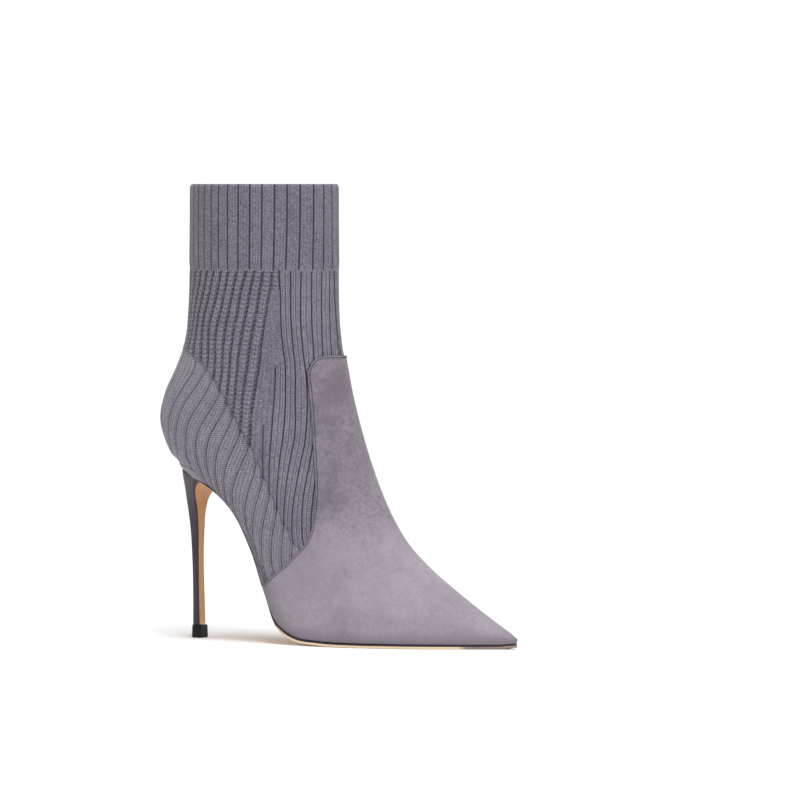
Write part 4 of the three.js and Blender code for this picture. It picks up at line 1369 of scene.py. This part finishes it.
sole_ways = np.r_[np.linspace(0, way_at_run(16.0), 190), np.linspace(way_at_run(15.6), way_at_run(7.6), 16)]
sole_loops = sole_strip(sole_ways, sole_profile)
nose_steps = ((1.1, 0.25), (1.0, 0.5), (0.8, 0.72), (0.5, 0.88), (0.25, 0.97))
nose = [sole_loops[0] * [1, share, 1] + [forward, 0, 0] for forward, share in nose_steps]
sole_loops = np.concatenate([np.stack(nose), sole_loops])
# paint on the points of a section: all along on the edge, and on the wall below it only up the arch
half_edge, half_wall = [0, 1, 1, 1, 1, 0, 0, 0, 0, 0], [0, 0, 0, 0, 0, 1, 1, 0.8, 0, 0]
edge_marks, wall_marks = np.array(half_edge + half_edge[::-1]), np.array(half_wall + half_wall[::-1])
arch_marks = np.r_[np.zeros(len(nose)), arch_share(sole_ways + 4)]
arch_marks = np.maximum(arch_marks, ease(-sole_loops[:, :, 0].mean(1), -34, -26))
marks = {"paint": np.maximum(edge_marks, wall_marks * arch_marks[:, None]).ravel()}
write_piece("outsole", rings(sole_loops), ["outsole"], SOLE_LEATHER, marks, flat_over=50)

# %% [markdown]
# ## The heel
# The heel is a slim stem that flares into a cup under the seat. Its level sections are shaped like a D,
# flat in front. Suede covers the round side, and leather the front.

# %% Level sections of the heel
# heights between which the painted shade down the stem fades to none under the cup
STEM_SHADE_UP = (55, 98)
# height, share of the heel height; back, front and half width, shares of the heel tip's size; squareness
HEEL = np.array(
    [
        [0.081, -0.40, 0.32, 0.44, 2.2],
        [0.260, -0.40, 0.26, 0.43, 2.2],
        [0.500, -0.49, 0.21, 0.39, 2.2],
        [0.660, -0.62, 0.24, 0.47, 2.2],
        [0.780, -0.80, 0.27, 0.68, 2.1],
        [0.850, -0.87, 0.35, 1.08, 2.0],
        [0.900, -0.88, 0.63, 1.60, 1.85],
        [0.940, -0.92, 1.16, 2.38, 1.65],
        [0.980, -1.03, 1.83, 2.98, 1.6],
        [1.030, -1.21, 2.60, 3.10, 1.6],
    ]
)
heel_z = HEEL[:, 0] * HEEL_HEIGHT
heel_z[0] = TIP_HEIGHT + GAP
heel_sizes = HEEL[:, 1:] * [TIP_SIZE, TIP_SIZE, TIP_SIZE, 1]
ups = np.linspace(heel_z[0], heel_z[-1], 240)
backs, fronts, halves, squares = curve(heel_z, heel_sizes, ups).T
lean = np.minimum(np.hypot(1, np.gradient(fronts, ups)), 2)


def cut_at_seat(columns, under):
    """Each column of a loft ends where it meets the seat; rows are shared out anew along it."""
    out = []
    for path in columns:
        over = path[:, 2] - sole_height(path[:, 0], under)
        k = np.nonzero(over >= 0)[0]
        end = k[0] - 1 + over[k[0] - 1] / (over[k[0] - 1] - over[k[0]]) if len(k) else len(path) - 1.0
        share = end * np.linspace(0, 1, 130)
        out.append(np.stack([np.interp(share, np.arange(len(path)), path[:, i]) for i in range(3)], -1))
    return np.stack(out, 1)


def round_side(count, square):
    """Shares back and across of points round the back of a D, from side to side."""
    angle = np.linspace(-np.pi / 2, np.pi / 2, count)
    cosine, sine = np.clip(np.cos(angle), 0, 1), np.sin(angle)
    return cosine ** (2 / square), np.sign(sine) * np.abs(sine) ** (2 / square)


heel_fronts = fronts - (BREAST_WALL + 0.12) * lean
shares = np.array([round_side(36, square) for square in squares])
heel_columns = [
    np.stack([heel_fronts - (heel_fronts - backs) * shares[:, 0, k], halves * shares[:, 1, k], ups], -1)
    for k in range(shares.shape[2])
]
heel_columns += [np.stack([heel_fronts, halves * b, ups], -1) for b in np.linspace(0.97, -0.97, 13)]
heel_loops = cut_at_seat(heel_columns, GAP)
# painted shade: `low` darkens the heel suede down the stem, away from the cup
marks = {"low": (1 - ease(heel_loops[..., 2], *STEM_SHADE_UP)).ravel()}
write_piece("heel", rings(heel_loops), ["heel"], HEEL_SUEDE, marks, flat_over=50)

# %% Leather down the front of the heel
PAINT_LINE = 0.5
CORNER = 10.0
SPREAD = 0.5
breast_across = np.sin(np.linspace(-1, 1, 45) * np.pi / 2)
breast_columns = [np.stack([fronts, halves * b, ups], -1) for b in breast_across]
breast_columns += [np.stack([fronts - BREAST_WALL * lean, halves * b, ups], -1) for b in breast_across[::-1]]
breast_loops = cut_at_seat(breast_columns, GAP + HEEL_SOLE + 0.05)
from_side = np.interp(breast_loops[..., 2], ups, halves) - np.abs(breast_loops[..., 1])
from_top = sole_height(breast_loops[..., 0], GAP + HEEL_SOLE) - breast_loops[..., 2]
in_corner = np.hypot(CORNER - np.minimum(from_side, CORNER), CORNER - np.minimum(from_top, CORNER))
to_border = np.minimum(CORNER - in_corner, np.minimum(from_side, from_top))
marks = {"paint": np.clip(0.5 + (PAINT_LINE - to_border) / SPREAD, 0, 1).ravel()}
breast_body = rings(breast_loops)
write_piece("heel_breast", breast_body, ["heel_breast"], SOLE_LEATHER, marks, flat_over=50)

# %% Heel tip
# height, share of the tip's size
TIP_LEVELS = [(0.0, 0.9), (0.15, 0.955), (0.7, 1.0), (3.0, 0.985)]
TIP_LEVELS += [(6.9, 0.955), (7.5, 0.93), (TIP_HEIGHT, 0.87)]
TIP_SQUARE = 2.4
tip_loops = []
for z, share in TIP_LEVELS:
    half = TIP_SIZE / 2 * share
    loop = [[half - 2 * half * p, half * q, z] for p, q in zip(*round_side(40, TIP_SQUARE))]
    tip_loops.append(loop + [[half, half * q, z] for q in np.linspace(0.9, -0.9, 9)])
write_piece("heel_tip", rings(tip_loops), ["heel_tip"], TIP_RUBBER, flat_over=35)

# %% [markdown]
# ## The seat band
# A narrow suede strip is wrapped round the back of the foot just above the sole, from one side of the heel
# to the other. It hides the turned edge of the knit. Its place is found by looking outwards from a line
# inside the heel until the knit is met, so it lies on the knit all round.

# %% Seat band
BAND_END = (22.5, 30.0)
BAND_TAPER = 12.0
BAND_SHOWN = BAND_HEIGHT + 1.4
BAND_UNDER = 0.4
BAND_MIDDLE = 8.0
BAND_LEAN = 0.22
seat_rows = slice(int(180 / WHOLE * 640), int(300 / WHOLE * 640))
seat_points, seat_faces = [], []
for s in (-1, 1):
    part = KNIT_SKIN.points[s][seat_rows]
    rows, cols = part.shape[:2]
    number = np.arange(rows * cols).reshape(rows, cols) + len(seat_points)
    seat_points += part.reshape(-1, 3).tolist()
    seat_faces += quads(number).tolist()
seat_tree = BVHTree.FromPolygons(seat_points, seat_faces)
band_end_angle = math.atan2(BAND_END[1], BAND_MIDDLE - BAND_END[0])


def on_knit(angle, height):
    """Point of the knit met when looking level outwards from the heel's middle."""
    out = Vector((-math.cos(angle), math.sin(angle), 0))
    for lift in np.arange(0, 9, 0.15):
        hit = seat_tree.ray_cast(Vector((BAND_MIDDLE, 0, height + lift)), out)[0]
        if hit:
            hit -= out * (BAND_LEAN * lift)
            return np.array([hit.x, hit.y, height]), np.array(out)
    raise ValueError("no knit outwards from here")


# share up the band, share of the wall outwards
BAND_PROFILE = [(0.0, -0.4), (-0.02, 1.5), (0.05, 1.75), (0.3, 1.55), (0.65, 1.25)]
BAND_PROFILE += [(0.88, 1.0), (0.97, 0.75), (1.0, 0.3), (0.97, -0.4)]
band_angles = np.linspace(-band_end_angle, band_end_angle, 150)
band_low = []
for angle in band_angles:
    height = 101.0
    for _ in range(4):
        spot, out = on_knit(angle, height)
        height = sole_height(spot[0]) - BAND_UNDER
    band_low.append(spot)
band_loops = []
run = run_along(np.array(band_low))
taper = ease(np.minimum(run, run[-1] - run), -1.0, BAND_TAPER)
for angle, low, t in zip(band_angles, band_low, taper):
    loop = []
    for up, wall in BAND_PROFILE:
        spot, out = on_knit(angle, low[2] + up * BAND_SHOWN * t)
        loop.append(spot + out * (GAP * 0.3 + wall * (0.3 + 0.7 * t) * BAND_WALL))
    band_loops.append(loop)
write_piece("seat_band", rings(band_loops), ["seat_band"], BAND_SUEDE, flat_over=60)
print("band", round(float(run[-1])), "mm long")

# %% [markdown]
# ## Stitches
# One row of stitches holds the suede to the knit, just inside the seam. Each stitch is a small thread that
# bulges over the suede and goes down at both ends. The thread is coloured dark, partly as painted shade of
# the holes that the stitches go into.

# %% Stitches along the seam
STITCH_PITCH = 1.55
STITCH_LENGTH = 1.05
STITCH_WIDTH = 0.78
STITCH_INSET = 1.15
seam_line = []
for s in (-1, 1):
    turns = np.linspace(0.012, 1, 1200)
    end = np.interp(turns, TURNS, VAMP_END[s])
    line = SUEDE_OUT.at(end, turns, s, np.zeros(len(turns)))
    normal = SUEDE_OUT.read(SUEDE_OUT.normals[s], end, turns)
    along = np.gradient(line, axis=0)
    along /= np.linalg.norm(along, axis=1, keepdims=True)
    inset = np.cross(normal, along)
    toe_side = SUEDE_OUT.at(end - 3, turns, s, np.zeros(len(turns))) - line
    inset *= np.sign((inset * toe_side).sum(1))[:, None]
    seam_line.append((line + inset * STITCH_INSET, normal))
path = np.concatenate([seam_line[0][0], seam_line[1][0][-2::-1]])
facing_out = np.concatenate([seam_line[0][1], seam_line[1][1][-2::-1]])
run = run_along(path)
stitch_count = int(run[-1] // STITCH_PITCH)


def spot_at(distance, values):
    """What a table along the seam holds at this distance."""
    return np.array([np.interp(distance, run, values[:, i]) for i in range(3)])


thread_points, thread_faces = [], []
for at in (np.arange(stitch_count) + 0.5) * run[-1] / stitch_count:
    half_stitch = STITCH_LENGTH / 2
    centre, ahead, behind = (spot_at(at + step, path) for step in (0, half_stitch, -half_stitch))
    up = spot_at(at, facing_out)
    up /= np.linalg.norm(up)
    along = (ahead - behind) / np.linalg.norm(ahead - behind)
    wide = np.cross(up, along)
    loops = []
    for k in np.linspace(-0.92, 0.92, 6):
        girth = math.sqrt(1 - k * k)
        loop = []
        for a in np.linspace(0, 2 * np.pi, 7)[:-1]:
            radius = STITCH_WIDTH / 2 * girth
            rise = 0.06 + radius * math.sin(a) - 0.12 * k * k
            loop.append(centre + along * k * half_stitch + wide * radius * math.cos(a) + up * rise)
        loops.append(loop)
    points, faces = rings(loops)
    thread_faces += [[v + len(thread_points) for v in f] for f in faces]
    thread_points += points.tolist()
write_piece("vamp_stitches", (np.array(thread_points), thread_faces), [], THREAD)
print(stitch_count, "stitches, one every", round(run[-1] / stitch_count, 2), "mm")

# %% [markdown]
# ## Floor and light
# A plain pale floor runs back and rises into a wall in one soft bend, so that no horizon shows. Soft lights
# stand where a studio has them: one overhead, a weak one on the left, and a wide window light from the
# front right.

# %% Floor
FLOOR_PAINT = Paint("floor", Base_Color=shade(250, 250, 250), Roughness=0.9)
floor_grain = FLOOR_PAINT.noise(6.0)
FLOOR_PAINT.set("Roughness", FLOOR_PAINT.between(floor_grain, 0.3, 0.7, 0.85, 0.95))
FLOOR_BACK, BEND, FLOOR_HALF = 3.0, 1.5, 6.0
bend = [(-4.0, 0.0), (FLOOR_BACK, 0.0)]
bend += [
    (FLOOR_BACK + BEND * math.sin(a), BEND - BEND * math.cos(a)) for a in np.linspace(0.1, math.pi / 2, 14)
]
bend += [(FLOOR_BACK + BEND, 6.0)]
floor_points, floor_faces = [], []
for depth, up in bend:
    for across in (-FLOOR_HALF, FLOOR_HALF):
        spot = -TOWARDS * depth + RIGHT * across
        floor_points.append((spot[0], spot[1], up))
for k in range(len(bend) - 1):
    floor_faces.append((2 * k, 2 * k + 1, 2 * k + 3, 2 * k + 2))
floor_mesh = bpy.data.meshes.new("floor")
floor_mesh.from_pydata(floor_points, [], floor_faces)
floor_mesh.shade_smooth()
floor_mesh.materials.append(FLOOR_PAINT.material)
floor = bpy.data.objects.new("floor", floor_mesh)
bpy.context.scene.collection.objects.link(floor)


# %% Lights
def soft_light(name, spot, size, power, aim=(0.09, 0.0, 0.12)):
    lamp = bpy.data.lights.new(name, "AREA")
    lamp.shape, lamp.size, lamp.energy = "SQUARE", size, power
    light = bpy.data.objects.new(name, lamp)
    light.location = spot
    light.rotation_euler = (Vector(aim) - Vector(spot)).to_track_quat("-Z", "Y").to_euler()
    bpy.context.scene.collection.objects.link(light)


soft_light("overhead", (0.1, -0.05, 1.6), size=0.6, power=11)
soft_light("left", (-1.3, -1.3, 0.9), size=1.0, power=1.5)
key_lamp = bpy.data.lights.new("window", "SUN")
key_lamp.energy, key_lamp.angle = 1.75, math.radians(40)
key = bpy.data.objects.new("window", key_lamp)
key.rotation_euler = Vector((-0.5, 0.4, -0.77)).to_track_quat("-Z", "Y").to_euler()
bpy.context.scene.collection.objects.link(key)
world = bpy.data.worlds.new("studio")
world.use_nodes = True
background = world.node_tree.nodes["Background"]
background.inputs["Color"].default_value = (1, 1, 1, 1)
background.inputs["Strength"].default_value = 0.43
bpy.context.scene.world = world
bpy.context.scene.view_settings.view_transform = "Standard"
